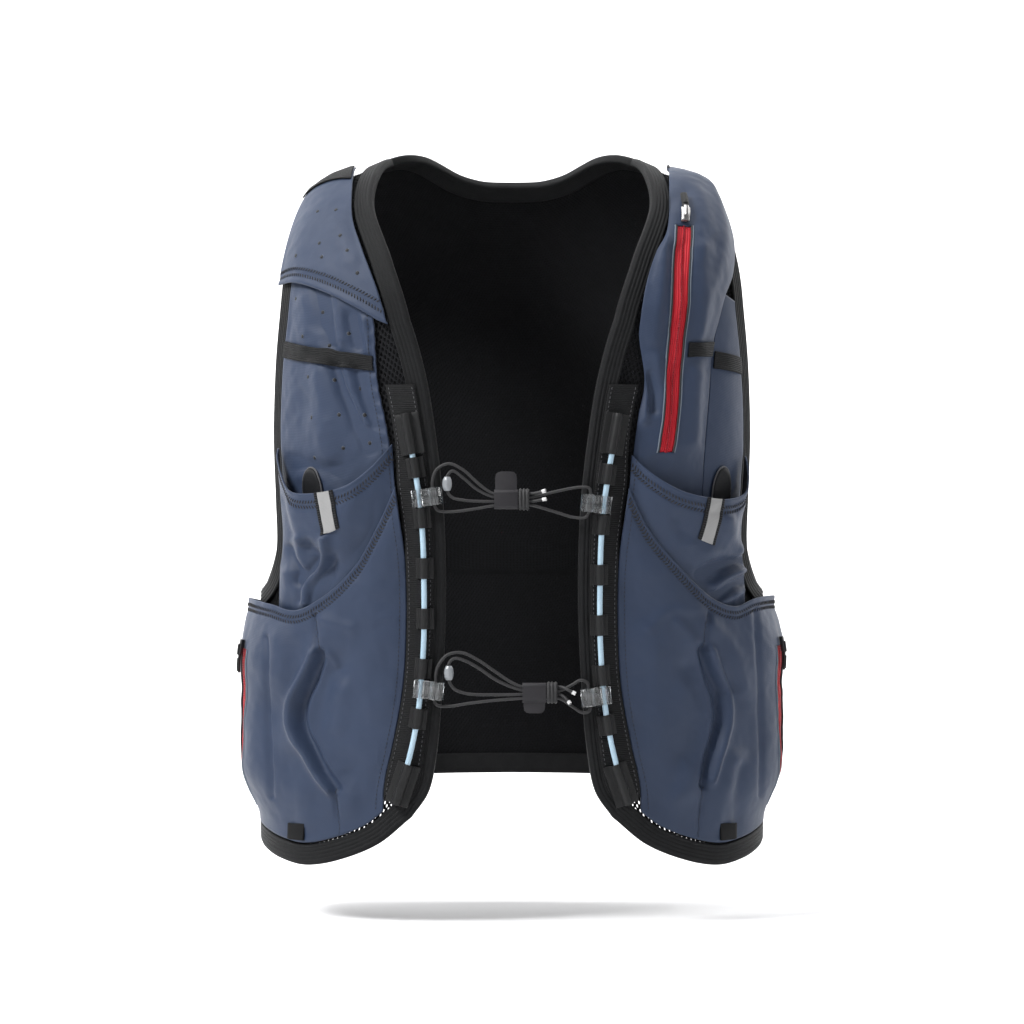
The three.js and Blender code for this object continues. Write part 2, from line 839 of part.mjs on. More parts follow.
const vest = new THREE.Group();
function addPiece(name, geometry, finish) {
  const mesh = new THREE.Mesh(geometry, finish);
  mesh.name = name;
  vest.add(mesh);
}

// Front panels of padded mesh, from the shoulder line to the hem
function frontPanel() {
  const sideSeam = straightLine(frontArmholeRows.at(-1), frontHemRows.at(-1));
  const outer = joinedLine([
    { line: partOfLine(frontArmhole, 0, armholeBendShare), steps: armholeSideSteps },
    { line: partOfLine(frontArmhole, armholeBendShare, 1), steps: armholeBendSteps },
    { line: sideSeam, steps: seamSteps },
  ]);
  const place = sheetBetween({
    inner: frontEdge,
    outer,
    top: straightLine(frontEdgeRows[0], frontArmholeRows[0]),
    bottom: frontHem,
  });
  const spread = edgedColumns(place, panelColumns);
  const hemBand = armholeInset / lengthOver(frontEdge);
  return makeSheet({
    place: (u, v) => offSeams(place(spread(u, v), v), -1),
    across: evenShares(panelColumns),
    down: bandedShares(evenShares(armholeSteps + seamSteps), 0, hemBand),
    height: () => 0,
    thickness: meshThickness,
  });
}
const frontMesh = frontPanel();

// Back panel, one sheet from side seam to side seam
function backPanel() {
  const mirrored = (line) => (t) => ({ turn: 360 - line(1 - t).turn, down: line(1 - t).down });
  const ridge = straightLine(backArmholeRows.at(-1), backNeckRows[0]);
  const top = joinedLine([
    { line: ridge, steps: ridgeSteps },
    { line: backNeck, steps: neckSteps },
    { line: mirrored(backNeck), steps: neckSteps },
    { line: mirrored(ridge), steps: ridgeSteps },
  ]);
  const bottom = joinedLine([
    { line: backHem, steps: backHemSteps },
    { line: mirrored(backHem), steps: backHemSteps },
  ]);
  const sideSeam = straightLine(backArmholeRows[0], backHemRows[0]);
  const upward = (t) => backArmhole(1 - t);
  const inner = joinedLine([
    { line: upward, steps: backArmholeSteps },
    { line: sideSeam, steps: seamSteps },
  ]);
  const outer = (t) => ({ turn: 360 - inner(t).turn, down: inner(t).down });
  const place = sheetBetween({ inner, outer, top, bottom });
  const band = armholeInset / lengthOver(inner);
  return makeSheet({
    place: (u, v) => {
      const here = offSeams(place(u, v), 1);
      return { turn: Math.min(here.turn, 360 - sideSeamTurn - seamTurnGap), down: here.down };
    },
    across: bandedShares(evenShares(2 * backHemSteps), sideBand(place), sideBand(place)),
    down: bandedShares(evenShares(backArmholeSteps + seamSteps), band, band),
    height: () => 0,
    thickness: meshThickness,
  });
}

// Share of a sheet that the edging takes at its middle
function sideBand(place) {
  return armholeInset / lengthOver((t) => place(t, 0.4), 16);
}
const backMesh = backPanel();

// Edgings: one round the neck, the fronts and the hem, and one round each armhole
const armholeShare = armholeSteps / (armholeSteps + seamSteps);
const backArmholeShare = backArmholeSteps / (backArmholeSteps + seamSteps);
const upTo = (shares, end) => shares.filter((share) => share <= end + 1e-6);
const from = (shares, start) => shares.filter((share) => share >= start - 1e-6);
const backHalf = upTo(backMesh.across, 0.5);
const neckShares = from(backHalf, ridgeSteps / (2 * backHemSteps)).slice(1).reverse();
const edgeHalf = [
  ...neckShares.map((u) => backMesh.place(u, 0)),
  ...frontMesh.down.map((v) => frontMesh.place(0, v)),
  ...frontMesh.across.slice(1, -1).map((u) => frontMesh.place(u, 1)),
  frontHem(1),
  ...backHalf.slice(1).map((u) => backMesh.place(u, 1)),
];
const otherHalf = edgeHalf
  .slice(1, -1)
  .reverse()
  .map(({ turn, down }) => ({ turn: -turn, down }));
const edgeLoop = [...edgeHalf, ...otherHalf];
addPiece('edge_binding', edgingGeometry(edgeLoop, bindingSection()), finishes.blackTape);

const armholeLoop = [
  ...upTo(backMesh.down, backArmholeShare).slice(0, -1).map((v) => backMesh.place(0, v)),
  ...upTo(frontMesh.down, armholeShare).reverse().slice(0, -1).map((v) => frontMesh.place(1, v)),
];
const armholeBinding = edgingGeometry(armholeLoop, bindingSection());
addPiece('armhole_binding_left', armholeBinding, finishes.blackTape);
addPiece('armhole_binding_right', mirroredAcross(armholeBinding), finishes.blackTape);

const otherArmhole = armholeLoop.map(({ turn, down }) => ({ turn: -turn, down })).reverse();
const frontCut = cutFor(frontMesh.geometry, [edgeLoop, armholeLoop]);
addPiece('front_panel_left', frontCut, finishes.blackMesh);
addPiece('front_panel_right', mirroredAcross(frontCut), finishes.blackMesh);
const backCut = cutFor(backMesh.geometry, [edgeLoop, armholeLoop, otherArmhole]);
addPiece('back_panel', backCut, finishes.blackMesh);

// Inner boundary of the chest pieces beside the armhole binding, and of the pockets beside the tape
const armholeInner = insetLine(frontArmhole, -armholeInset - seamClearance);
const pocketInner = insetLine(tapeLine, seamClearance);

// The share of a line where its turn or its way down reaches a value
function shareAt(line, key, value) {
  let low = 0;
  let high = 1;
  for (let pass = 0; pass < 40; pass += 1) {
    const middle = (low + high) / 2;
    if (line(middle)[key] < value) {
      low = middle;
    } else {
      high = middle;
    }
  }
  return (low + high) / 2;
}
function shareAtDown(line, down) {
  return shareAt(line, 'down', down);
}
function shareAtTurn(line, turn) {
  return shareAt(line, 'turn', turn);
}

// Sleeve of stretch cloth on the wearer's right chest
function chestSleeve() {
  const inner = lineThrough(sleeveInnerRows);
  const outerFrom = shareAtDown(armholeInner, sleeveTopDown);
  const outerTo = shareAtDown(armholeInner, chestFootDown);
  const outer = partOfLine(armholeInner, outerFrom, outerTo);
  return makeSheet({
    place: sheetBetween({
      inner,
      outer,
      top: straightLine(inner(0), outer(0)),
      bottom: straightLine(inner(1), outer(1)),
    }),
    across: evenShares(6),
    down: evenShares(9),
    height: (u, v) => {
      const free = arch(u) * arch(Math.min(v, 0.9));
      return clothBase + sleeveFullness * free * (0.6 + Math.max(foldsAt(sleeveFolds, u, v), 0));
    },
    thickness: clothThickness,
  });
}
const sleeve = chestSleeve();
addPiece('chest_sleeve', mirroredAcross(sleeve.geometry), finishes.navyCloth);

// Flap over the wearer's right shoulder
function shoulderFlap() {
  const inner = lineThrough(flapInnerRows);
  const bottom = lineThrough(flapHemRows);
  const outerTo = shareAtDown(frontArmhole, flapHemRows.at(-1).down);
  const outerLine = insetLine(frontArmhole, -seamClearance);
  const outer = partOfLine(outerLine, 0.01, outerTo);
  const place = sheetBetween({
    inner,
    outer,
    top: straightLine(inner(0), outer(0)),
    bottom: (t) => {
      const end = bottom(1);
      const shift = { turn: outer(1).turn - end.turn, down: outer(1).down - end.down };
      const here = bottom(t);
      return { turn: here.turn + shift.turn * t, down: here.down + shift.down * t };
    },
  });
  return makeSheet({
    place,
    across: evenShares(5),
    down: evenShares(6),
    height: (u, v) => secondBase + sleeveFullness * soft(v * 3) * arch(u),
    thickness: clothThickness,
  });
}
addPiece('shoulder_flap', mirroredAcross(shoulderFlap().geometry), finishes.navyCloth);

// Zip pocket on the wearer's left chest, with a slot along its zip
function chestZipPocket() {
  const inner = lineThrough(chestPocketInnerRows);
  const outer = lineThrough(chestPocketOuterRows);
  const steps = 14;
  const zip = lineThrough(chestZipRows);
  const place = sheetBetween({
    inner,
    outer,
    top: straightLine(inner(0), outer(0)),
    bottom: straightLine(inner(1), outer(1)),
  });
  const rows = evenShares(steps);
  const zipShareAt = (v) => {
    const down = place(zipPlaceShare, v).down;
    const target = zip(shareAtDown(zip, down)).turn;
    return (target - place(0, v).turn) / (place(1, v).turn - place(0, v).turn);
  };
  const firstRow = 4;
  const lastRow = 12;
  const slotHalf = (v) => {
    const width = bodyPoint(place(0, v)).distanceTo(bodyPoint(place(1, v)));
    return (chestZipWidth / 2 + seamClearance) / width;
  };
  const columns = [0, 0.16, 0.32, 0.42, 0.5, 0.58, 0.72, 0.86, 1];
  const zipColumns = [3, 5];
  const bent = (u, v) => {
    const middle = zipShareAt(Math.min(Math.max(v, rows[firstRow]), rows[lastRow]));
    const half = slotHalf(v);
    const knots = [0, middle - half, middle + half, 1];
    const marks = [0, columns[zipColumns[0]], columns[zipColumns[1]], 1];
    const span = u < marks[1] ? 0 : u < marks[2] ? 1 : 2;
    const t = (u - marks[span]) / (marks[span + 1] - marks[span]);
    return knots[span] + (knots[span + 1] - knots[span]) * t;
  };
  const height = (u, v) => {
    const top = soft(v / 0.12);
    const low = soft((1 - v) / 0.18);
    const full = arch(u) ** 0.8 * (0.75 + foldsAt(chestFolds, u, v));
    const overBinding = (secondBase - clothBase) * (1 - soft((v - 0.45) / 0.12));
    return clothBase + overBinding + chestFullness * full * low * (0.2 + 0.8 * top);
  };
  const isSlot = (row, column) =>
    row >= firstRow && row < lastRow && column >= zipColumns[0] && column < zipColumns[1];
  const sheet = makeSheet({
    place: (u, v) => place(bent(u, v), v),
    across: columns,
    down: rows,
    height: (u, v) => height(bent(u, v), v),
    thickness: clothThickness,
    isOpen: isSlot,
  });
  return { sheet, zipColumns, firstRow, lastRow };
}
const chestPocket = chestZipPocket();
addPiece('chest_zip_pocket', chestPocket.sheet.geometry, finishes.navyCloth);

// Zip chain that fills a sheet's slot, clear of the slot's edges
function zipInSlot(sheet, zipColumns, firstRow, lastRow) {
  const fromU = sheet.across[zipColumns[0]];
  const toU = sheet.across[zipColumns[1]];
  const fromV = sheet.down[firstRow];
  const toV = sheet.down[lastRow];
  const middleU = (fromU + toU) / 2;
  const edgeU = shareAcross(sheet, middleU, (fromV + toV) / 2, seamClearance);
  const edgeV = shareDown(sheet, middleU, (fromV + toV) / 2, seamClearance);
  return stripOnSheet(sheet, {
    fromU: fromU + edgeU,
    toU: toU - edgeU,
    fromV: fromV + edgeV,
    toV: toV - edgeV,
    lift: (clothThickness - zipThickness) / 2 - clothThickness / 2,
    thickness: zipThickness,
  });
}
addPiece(
  'chest_zip',
  zipInSlot(chestPocket.sheet, chestPocket.zipColumns, chestPocket.firstRow, chestPocket.lastRow),
  finishes.redZip,
);

// Slider with its pull, lying on a sheet and pointing up or down from its place
function zipSlider(sheet, u, v, pullDirection) {
  const base = onSheet(sheet, u, v, seamClearance + zipThickness / 2);
  const { normal } = bodyFrame(overShoulder(sheet.place(u, v)));
  const ahead = onSheet(sheet, u, v + 0.04, seamClearance + zipThickness / 2);
  const down = ahead.sub(base).normalize();
  const across = new THREE.Vector3().crossVectors(down, normal).normalize();
  const outward = new THREE.Vector3().crossVectors(across, down);
  const outline = new THREE.Shape();
  const length = sliderLength;
  const reach = sliderLength / 2 + pullLength;
  const halfSlider = sliderWidth / 2;
  const halfPull = pullWidth / 2;
  outline.moveTo(-halfSlider, -length / 2);
  outline.lineTo(halfSlider, -length / 2);
  outline.lineTo(halfSlider, length / 2 - halfPull);
  outline.lineTo(halfPull, length / 2);
  outline.lineTo(halfPull, reach);
  outline.lineTo(-halfPull, reach);
  outline.lineTo(-halfPull, length / 2);
  outline.lineTo(-halfSlider, length / 2 - halfPull);
  outline.closePath();
  const geometry = new THREE.ExtrudeGeometry(outline, { depth: zipThickness, bevelEnabled: false });
  const along = down.clone().multiplyScalar(pullDirection);
  const side = new THREE.Vector3().crossVectors(along, outward);
  geometry.applyMatrix4(new THREE.Matrix4().makeBasis(side, along, outward).setPosition(base));
  return closedGeometry(geometry);
}

addPiece('chest_zip_slider', zipSlider(chestPocket.sheet, 0.5, 0.265, -1), finishes.blackMetal);

// Plain panel outside the zip pocket, showing beside the armhole
function outerChestPanel() {
  const outerFrom = shareAtDown(armholeInner, sidePanelTopDown);
  const outerTo = shareAtDown(armholeInner, chestFootDown);
  const outer = partOfLine(armholeInner, outerFrom, outerTo);
  const pocketOuter = lineThrough(chestPocketOuterRows);
  const pocketRows = chestPocket.sheet.down;
  const firstShared = 6;
  const beside = insetLine(partOfLine(pocketOuter, pocketRows[firstShared], 1), seamClearance);
  return makeSheet({
    place: sheetBetween({
      inner: beside,
      outer,
      top: straightLine(beside(0), outer(0)),
      bottom: straightLine(beside(1), outer(1)),
    }),
    across: evenShares(2),
    down: evenShares(pocketRows.length - 1 - firstShared),
    height: () => clothBase,
    thickness: clothThickness,
  });
}
const chestSide = outerChestPanel();
addPiece('outer_chest_panel', chestSide.geometry, finishes.navyCloth);

// Elastic loops across the chest
function loopAcross(sheet, fromU, toU, down) {
  const middle = (fromU + toU) / 2;
  let v = 0.5;
  for (let pass = 0; pass < 20; pass += 1) {
    v += (down - sheet.place(middle, v).down) * 1.5;
  }
  const half = shareDown(sheet, middle, v, chestLoopWidth) / 2;
  return stripOnSheet(sheet, {
    fromU,
    toU,
    fromV: v - half,
    toV: v + half,
    lift: seamClearance,
    thickness: elasticThickness,
  });
}
const chestLoopRight = loopAcross(sleeve, 0.02, 0.98, 0.295);
addPiece('chest_loop_right', mirroredAcross(chestLoopRight), finishes.blackTape);
addPiece(
  'chest_loop_left_front',
  loopAcross(chestPocket.sheet, 0.6, 0.98, 0.283),
  finishes.blackTape,
);
addPiece('chest_loop_left_outer', loopAcross(chestSide, 0.04, 0.96, 0.3), finishes.blackTape);

// Flask pocket: open at its mouth, closed along the tape, the armhole and behind the lower pocket
function flaskPocket(mouthRows, lowerRows) {
  const mouth = lineThrough(mouthRows);
  const lowerMouth = lineThrough(lowerRows);
  const armSide = partOfLine(
    armholeInner,
    shareAtDown(armholeInner, mouthRows.at(-1).down),
    shareAtDown(armholeInner, flaskFootDown),
  );
  const tuck = tuckDepth / vestDrop;
  const under = (t) => {
    const across = (mouth(t).turn - mouth(0).turn) / (mouth(1).turn - mouth(0).turn);
    const turn = lowerMouth(0).turn + (armSide(1).turn - lowerMouth(0).turn) * across;
    return { turn, down: lowerMouth(shareAtTurn(lowerMouth, turn)).down + tuck };
  };
  const inner = straightLine(mouthRows[0], under(0));
  const outer = joinedLine([
    { line: armSide, steps: 5 },
    { line: straightLine(armSide(1), under(1)), steps: 2 },
  ]);
  const top = (t) => {
    const end = mouth(1);
    const shift = { turn: armSide(0).turn - end.turn, down: armSide(0).down - end.down };
    const here = mouth(t);
    return { turn: here.turn + shift.turn * t, down: here.down + shift.down * t };
  };
  return makeSheet({
    place: sheetBetween({ inner, outer, top, bottom: under }),
    across: evenShares(10),
    down: evenShares(7),
    height: (u, v) => {
      const across = arch(u) ** 0.8;
      const open = (1 - soft(v)) ** 1.1;
      const folds = foldsAt(flaskFolds, u, v) * arch(v);
      return secondBase + flaskFullness * across * Math.max(open + folds * 0.6, 0);
    },
    thickness: clothThickness,
  });
}
const flaskRight = flaskPocket(flaskMouthRight, lowerMouthRight);
const flaskLeft = flaskPocket(flaskMouthLeft, lowerMouthLeft);
addPiece('flask_pocket_right', mirroredAcross(flaskRight.geometry), finishes.navyCloth);
addPiece('flask_pocket_left', flaskLeft.geometry, finishes.navyCloth);

// Lower pocket: wraps round the side from the tape to behind the side seam, open at its mouth
function lowerPocket(mouthRows, folds) {
  const mouth = lineThrough(mouthRows);
  const hemInset = armholeInset + 2 * seamClearance;
  const frontPart = insetLine(frontHem, hemInset);
  const backPart = insetLine(backHem, hemInset);
  const backTo = shareAtTurn(backPart, lowerBackTurn);
  const frontFrom = shareAtTurn(frontPart, pocketInner(1).turn);
  const bottom = joinedLine([
    { line: partOfLine(frontPart, frontFrom, 1), steps: 8 },
    { line: partOfLine(backPart, 0.02, backTo), steps: 4 },
  ]);
  const innerFrom = shareAtDown(pocketInner, mouthRows[0].down);
  const innerTo = shareAtDown(pocketInner, bottom(0).down);
  const inner = partOfLine(pocketInner, innerFrom, innerTo);
  const meetInner = (line, end, start) => (t) => {
    const here = line(t);
    const shiftTurn = start.turn - line(end).turn;
    const shiftDown = start.down - line(end).down;
    const fade = 1 - t;
    return { turn: here.turn + shiftTurn * fade, down: here.down + shiftDown * fade };
  };
  const top = meetInner(mouth, 0, inner(0));
  const foot = meetInner(bottom, 0, inner(1));
  const place = sheetBetween({ inner, outer: straightLine(top(1), foot(1)), top, bottom: foot });
  const columns = evenShares(12);
  const rows = [0, 0.1, 0.22, 0.34, 0.46, 0.58, 0.7, 0.82, 0.92, 1];
  const slotColumn = 8;
  const slotFrom = 2;
  const slotTo = 8;
  const height = (u, v) => {
    const length = (place(u, 1).down - place(u, 0).down) * vestDrop;
    const sunk = soft((v * length - mouthLand) / mouthFade);
    const base = clothBase + (mouthBase - clothBase) * (1 - sunk);
    const side = arch(Math.min(u, 0.97)) ** 0.7 * (0.35 + 0.65 * soft((u - 0.2) / 0.4));
    const belly = soft(v / 0.3) * soft((1 - v) / 0.25);
    const gape = 0.25 * (1 - soft(v / 0.3));
    const creased = foldsAt(folds, u, v) * soft((1 - v) / 0.2) * soft(v / 0.12);
    return base + lowerFullness * Math.max(side * (belly + gape) + creased * side, 0);
  };
  const bent = (u) => {
    const marks = [0, columns[slotColumn], columns[slotColumn + 1], 1];
    const knots = [0, ...sideZipShares, 1];
    const span = u < marks[1] ? 0 : u < marks[2] ? 1 : 2;
    const t = (u - marks[span]) / (marks[span + 1] - marks[span]);
    return knots[span] + (knots[span + 1] - knots[span]) * t;
  };
  const sheet = makeSheet({
    place: (u, v) => place(bent(u), v),
    across: columns,
    down: rows,
    height: (u, v) => height(bent(u), v),
    thickness: clothThickness,
    isOpen: (row, column) => column === slotColumn && row >= slotFrom && row < slotTo,
  });
  return { sheet, zipColumns: [slotColumn, slotColumn + 1], firstRow: slotFrom, lastRow: slotTo };
}
const lowerRight = lowerPocket(lowerMouthRight, lowerFoldsRight);
const lowerLeft = lowerPocket(lowerMouthLeft, lowerFoldsLeft);
addPiece('lower_pocket_right', mirroredAcross(lowerRight.sheet.geometry), finishes.navyCloth);
addPiece('lower_pocket_left', lowerLeft.sheet.geometry, finishes.navyCloth);

// Side zips and their sliders
function sideZip({ sheet, zipColumns, firstRow, lastRow }) {
  return zipInSlot(sheet, zipColumns, firstRow, lastRow);
}
addPiece('side_zip_right', mirroredAcross(sideZip(lowerRight)), finishes.redZip);
addPiece('side_zip_left', sideZip(lowerLeft), finishes.redZip);

const sideSliderPlace = { u: 8.5 / 12, v: 0.19 };
function sideSlider({ sheet }) {
  return zipSlider(sheet, sideSliderPlace.u, sideSliderPlace.v, 1);
}
addPiece('side_zip_slider_right', mirroredAcross(sideSlider(lowerRight)), finishes.blackMetal);
addPiece('side_zip_slider_left', sideSlider(lowerLeft), finishes.blackMetal);

// Tape down each front, over the inner part of the binding, that carries the rail
function frontTape() {
  const outer = partOfLine(tapeLine, 0, tapeEndShare);
  const edge = insetLine(frontEdge, tapeOverlap, 40);
  const inner = partOfLine(edge, shareAtDown(edge, outer(0).down), shareAtDown(edge, outer(1).down));
  return makeSheet({
    place: sheetBetween({
      inner,
      outer,
      top: straightLine(inner(0), outer(0)),
      bottom: straightLine(inner(1), outer(1)),
    }),
    across: evenShares(1),
    down: evenShares(16),
    height: () => tapeBase,
    thickness: tapeThickness,
  });
}
const tape = frontTape();
addPiece('rail_tape_left', tape.geometry, finishes.blackTape);
addPiece('rail_tape_right', mirroredAcross(tape.geometry), finishes.blackTape);

// Rail: a round rod down the front
const railLine = lineThrough(railRows);
const railPoints = evenShares(railSteps).map(railLine).map((place) => bodyPoint(place, railHeight));
function roundRod(points, diameter, sides, steps) {
  const section = new THREE.Shape();
  section.absarc(0, 0, diameter / 2, 0, 2 * Math.PI);
  const path = new THREE.CatmullRomCurve3(points, false, 'centripetal');
  const settings = { steps, bevelEnabled: false, extrudePath: path, curveSegments: sides / 2 };
  return closedGeometry(new THREE.ExtrudeGeometry(section, settings));
}
const rail = roundRod(railPoints, railDiameter, railSides, railSteps);
addPiece('rail_left', rail, finishes.railPlastic);
addPiece('rail_right', mirroredAcross(rail), finishes.railPlastic);

// Loops that hold the rail down on the tape, at shares of the rail
const sideShift = 0.009;
const firstLoopShare = 0.115;
const loopShareSpan = 0.6885;
function railLoop(share) {
  const place = railLine(share);
  const sideways = sidewaysAt(railLine, share);
  const { normal } = bodyFrame(place);
  const along = new THREE.Vector3().crossVectors(sideways, normal).normalize();
  const radius = railDiameter / 2;
  const low = tapeTop + seamClearance;
  const high = railHeight + radius + seamClearance;
  const half = railLoopWidth / 2;
  const foot = radius + loopFootReach;
  const crown = radius * 0.75;
  const profile = [[-half, low], [-foot, low], [-crown, high], [crown, high], [foot, low], [half, low]];
  const grid = (lift) =>
    [-1, 1].map((end) =>
      profile.map(([step, height]) => {
        const vector = sideways.clone().multiplyScalar(step);
        vector.addScaledVector(along, (end * railLoopLength) / 2);
        return bodyPoint(movedPlace(place, vector), height + lift);
      }),
    );
  return shellGeometry(grid(0), grid(elasticThickness));
}
const sides = [
  { side: 'left', shift: sideShift, placed: (geometry) => geometry },
  { side: 'right', shift: -sideShift, placed: mirroredAcross },
];
for (const { side, shift, placed } of sides) {
  evenShares(railLoopCount - 1).forEach((t, index) => {
    const loop = railLoop(firstLoopShare + loopShareSpan * t + shift);
    addPiece(`rail_loop_${side}_${index + 1}`, placed(loop), finishes.blackTape);
  });
}

// Clip: a clear block with a bore for the rail and a slot for the cord
const clipOverhang = railBore / 2 + clipLip;
function railClip(share) {
  const place = railLine(share);
  const point = bodyPoint(place, railHeight);
  const ahead = bodyPoint(railLine(share + 0.01), railHeight);
  const along = ahead.sub(point).normalize();
  const { normal } = bodyFrame(place);
  const inward = new THREE.Vector3().crossVectors(along, normal).normalize();
  const outward = new THREE.Vector3().crossVectors(inward, along).normalize();
  const half = clipThickness / 2;
  const corner = half * 0.5;
  const start = -clipOverhang;
  const end = clipLength - clipOverhang;
  const outline = new THREE.Shape();
  outline.moveTo(start + corner, -half);
  outline.lineTo(end - corner, -half);
  outline.lineTo(end, -half + corner);
  outline.lineTo(end, half - corner);
  outline.lineTo(end - corner, half);
  outline.lineTo(start + corner, half);
  outline.lineTo(start, half - corner);
  outline.lineTo(start, -half + corner);
  outline.closePath();
  const bore = new THREE.Path();
  bore.absarc(0, 0, railBore / 2 / Math.cos(Math.PI / boreSides), 0, 2 * Math.PI, true);
  const slot = new THREE.Path();
  slot.moveTo(clipSlotNear, -clipSlot / 2);
  slot.lineTo(clipSlotNear, clipSlot / 2);
  slot.lineTo(clipSlotFar, clipSlot / 2);
  slot.lineTo(clipSlotFar, -clipSlot / 2);
  slot.closePath();
  outline.holes.push(bore, slot);
  const settings = { depth: clipHeight, bevelEnabled: false, curveSegments: boreSides / 2 };
  const geometry = new THREE.ExtrudeGeometry(outline, settings);
  geometry.translate(0, 0, -clipHeight / 2);
  const third = new THREE.Vector3().crossVectors(inward, outward);
  geometry.applyMatrix4(new THREE.Matrix4().makeBasis(inward, outward, third).setPosition(point));
  return closedGeometry(geometry);
}
const clipShares = { upper: 0.199, lower: 0.722 };
for (const [level, share] of Object.entries(clipShares)) {
  for (const { side, shift, placed } of sides) {
    addPiece(`clip_${level}_${side}`, placed(railClip(share + shift)), finishes.clearPlastic);
  }
}

// Sternum cords, each one length from tail to tail: through the keeper, round both clips and back
const upperCordRoute = [
  { x: 21, y: -130.2, z: -219.6 },
  { x: 16, y: -128, z: -220.9 },
  { x: 11.6, y: -125.3, z: -221.5 },
  { x: 4, y: -125.3, z: -221.5 },
  { x: -3.7, y: -125.3, z: -221.5 },
  { x: -11.4, y: -125.3, z: -221.5 },
  { x: -16, y: -125.3, z: -219.2 },
  { x: -22, y: -125.3, z: -214.4 },
  { x: -31, y: -125.3, z: -206.4 },
  { x: -40, y: -125.4, z: -202.6 },
  { x: -47.5, y: -125.4, z: -206.4 },
  { x: -50.2, y: -125.4, z: -213.8 },
  { x: -50.1, y: -125.4, z: -217.8 },
  { x: -48.8, y: -125.3, z: -228.7 },
  { x: -46.6, y: -125.3, z: -232 },
  { x: -40, y: -125.3, z: -232.9 },
  { x: -22, y: -125.3, z: -230.8 },
  { x: -11.3, y: -125.3, z: -229 },
  { x: -3.7, y: -125.3, z: -228.7 },
  { x: 4, y: -125.3, z: -228.7 },
  { x: 12, y: -125.3, z: -228.8 },
  { x: 26, y: -125.3, z: -232.6 },
  { x: 39, y: -125.2, z: -236.4 },
  { x: 46, y: -125.2, z: -236.4 },
  { x: 48.35, y: -125.2, z: -232.95 },
  { x: 49.6, y: -125.35, z: -222.05 },
  { x: 48.4, y: -125.4, z: -218 },
  { x: 43, y: -125.3, z: -217.4 },
  { x: 28, y: -125.3, z: -220 },
  { x: 12, y: -125.3, z: -223.8 },
  { x: 4, y: -125.3, z: -223.9 },
  { x: -3.7, y: -125.3, z: -223.9 },
  { x: -11.3, y: -125.3, z: -223.6 },
  { x: -22, y: -125.3, z: -218.8 },
  { x: -31, y: -125.3, z: -211.4 },
  { x: -37.6, y: -125.3, z: -207.2 },
  { x: -40.8, y: -125.3, z: -210.6 },
  { x: -40.8, y: -125.3, z: -215.3 },
  { x: -40.7, y: -125.3, z: -220 },
  { x: -37.4, y: -125.3, z: -224 },
  { x: -30, y: -125.3, z: -225.6 },
  { x: -20, y: -125.3, z: -226.3 },
  { x: -11.3, y: -125.3, z: -226.4 },
  { x: -3.7, y: -125.3, z: -226.3 },
  { x: 4, y: -125.3, z: -226.3 },
  { x: 11.6, y: -125.3, z: -226.3 },
  { x: 16, y: -127.8, z: -225.8 },
  { x: 21.4, y: -129.8, z: -224.8 },
];
const lowerCordRoute = [
  { x: 40, y: -124.4, z: -347.4 },
  { x: 35, y: -123.4, z: -344.8 },
  { x: 32, y: -121.2, z: -343.5 },
  { x: 29.2, y: -119.3, z: -343.2 },
  { x: 22, y: -119.3, z: -343.2 },
  { x: 14.1, y: -119.3, z: -343.2 },
  { x: 6.6, y: -119.3, z: -343.2 },
  { x: 0, y: -119.3, z: -340.6 },
  { x: -9, y: -119.3, z: -334.8 },
  { x: -22, y: -119.4, z: -326 },
  { x: -32, y: -119.5, z: -321.6 },
  { x: -41, y: -119.6, z: -323.2 },
  { x: -46.8, y: -119.7, z: -330.4 },
  { x: -48.1, y: -119.7, z: -336.4 },
  { x: -48, y: -119.7, z: -340.3 },
  { x: -49.1, y: -119.1, z: -351.25 },
  { x: -47, y: -119.1, z: -354.9 },
  { x: -40, y: -119.1, z: -355.4 },
  { x: -26, y: -119.2, z: -353.4 },
  { x: -10, y: -119.3, z: -351.6 },
  { x: 6, y: -119.3, z: -350.5 },
  { x: 14.1, y: -119.3, z: -350.4 },
  { x: 22, y: -119.3, z: -350.4 },
  { x: 30, y: -119.3, z: -350.5 },
  { x: 38, y: -119.2, z: -355.6 },
  { x: 44.4, y: -118.9, z: -359.4 },
  { x: 48.4, y: -118.85, z: -358.8 },
  { x: 49.5, y: -118.85, z: -355.45 },
  { x: 48.4, y: -119.5, z: -344.55 },
  { x: 47.4, y: -119.5, z: -340.6 },
  { x: 43.4, y: -119.4, z: -339 },
  { x: 37, y: -119.3, z: -342.4 },
  { x: 30, y: -119.3, z: -345.6 },
  { x: 22, y: -119.3, z: -345.6 },
  { x: 14.1, y: -119.3, z: -345.6 },
  { x: 6, y: -119.3, z: -345.2 },
  { x: -9, y: -119.3, z: -339.4 },
  { x: -21, y: -119.4, z: -331.4 },
  { x: -30, y: -119.4, z: -326.6 },
  { x: -36.4, y: -119.4, z: -325.2 },
  { x: -39.8, y: -119.4, z: -328.6 },
  { x: -39.8, y: -119.4, z: -334.4 },
  { x: -39.7, y: -119.4, z: -339.4 },
  { x: -36.6, y: -119.4, z: -344.4 },
  { x: -29, y: -119.3, z: -347.4 },
  { x: -12, y: -119.3, z: -348.2 },
  { x: 6, y: -119.3, z: -348 },
  { x: 14.1, y: -119.3, z: -348 },
  { x: 22, y: -119.3, z: -348 },
  { x: 29.8, y: -119.3, z: -348 },
  { x: 33.6, y: -122, z: -350 },
  { x: 36.6, y: -124, z: -353.6 },
];

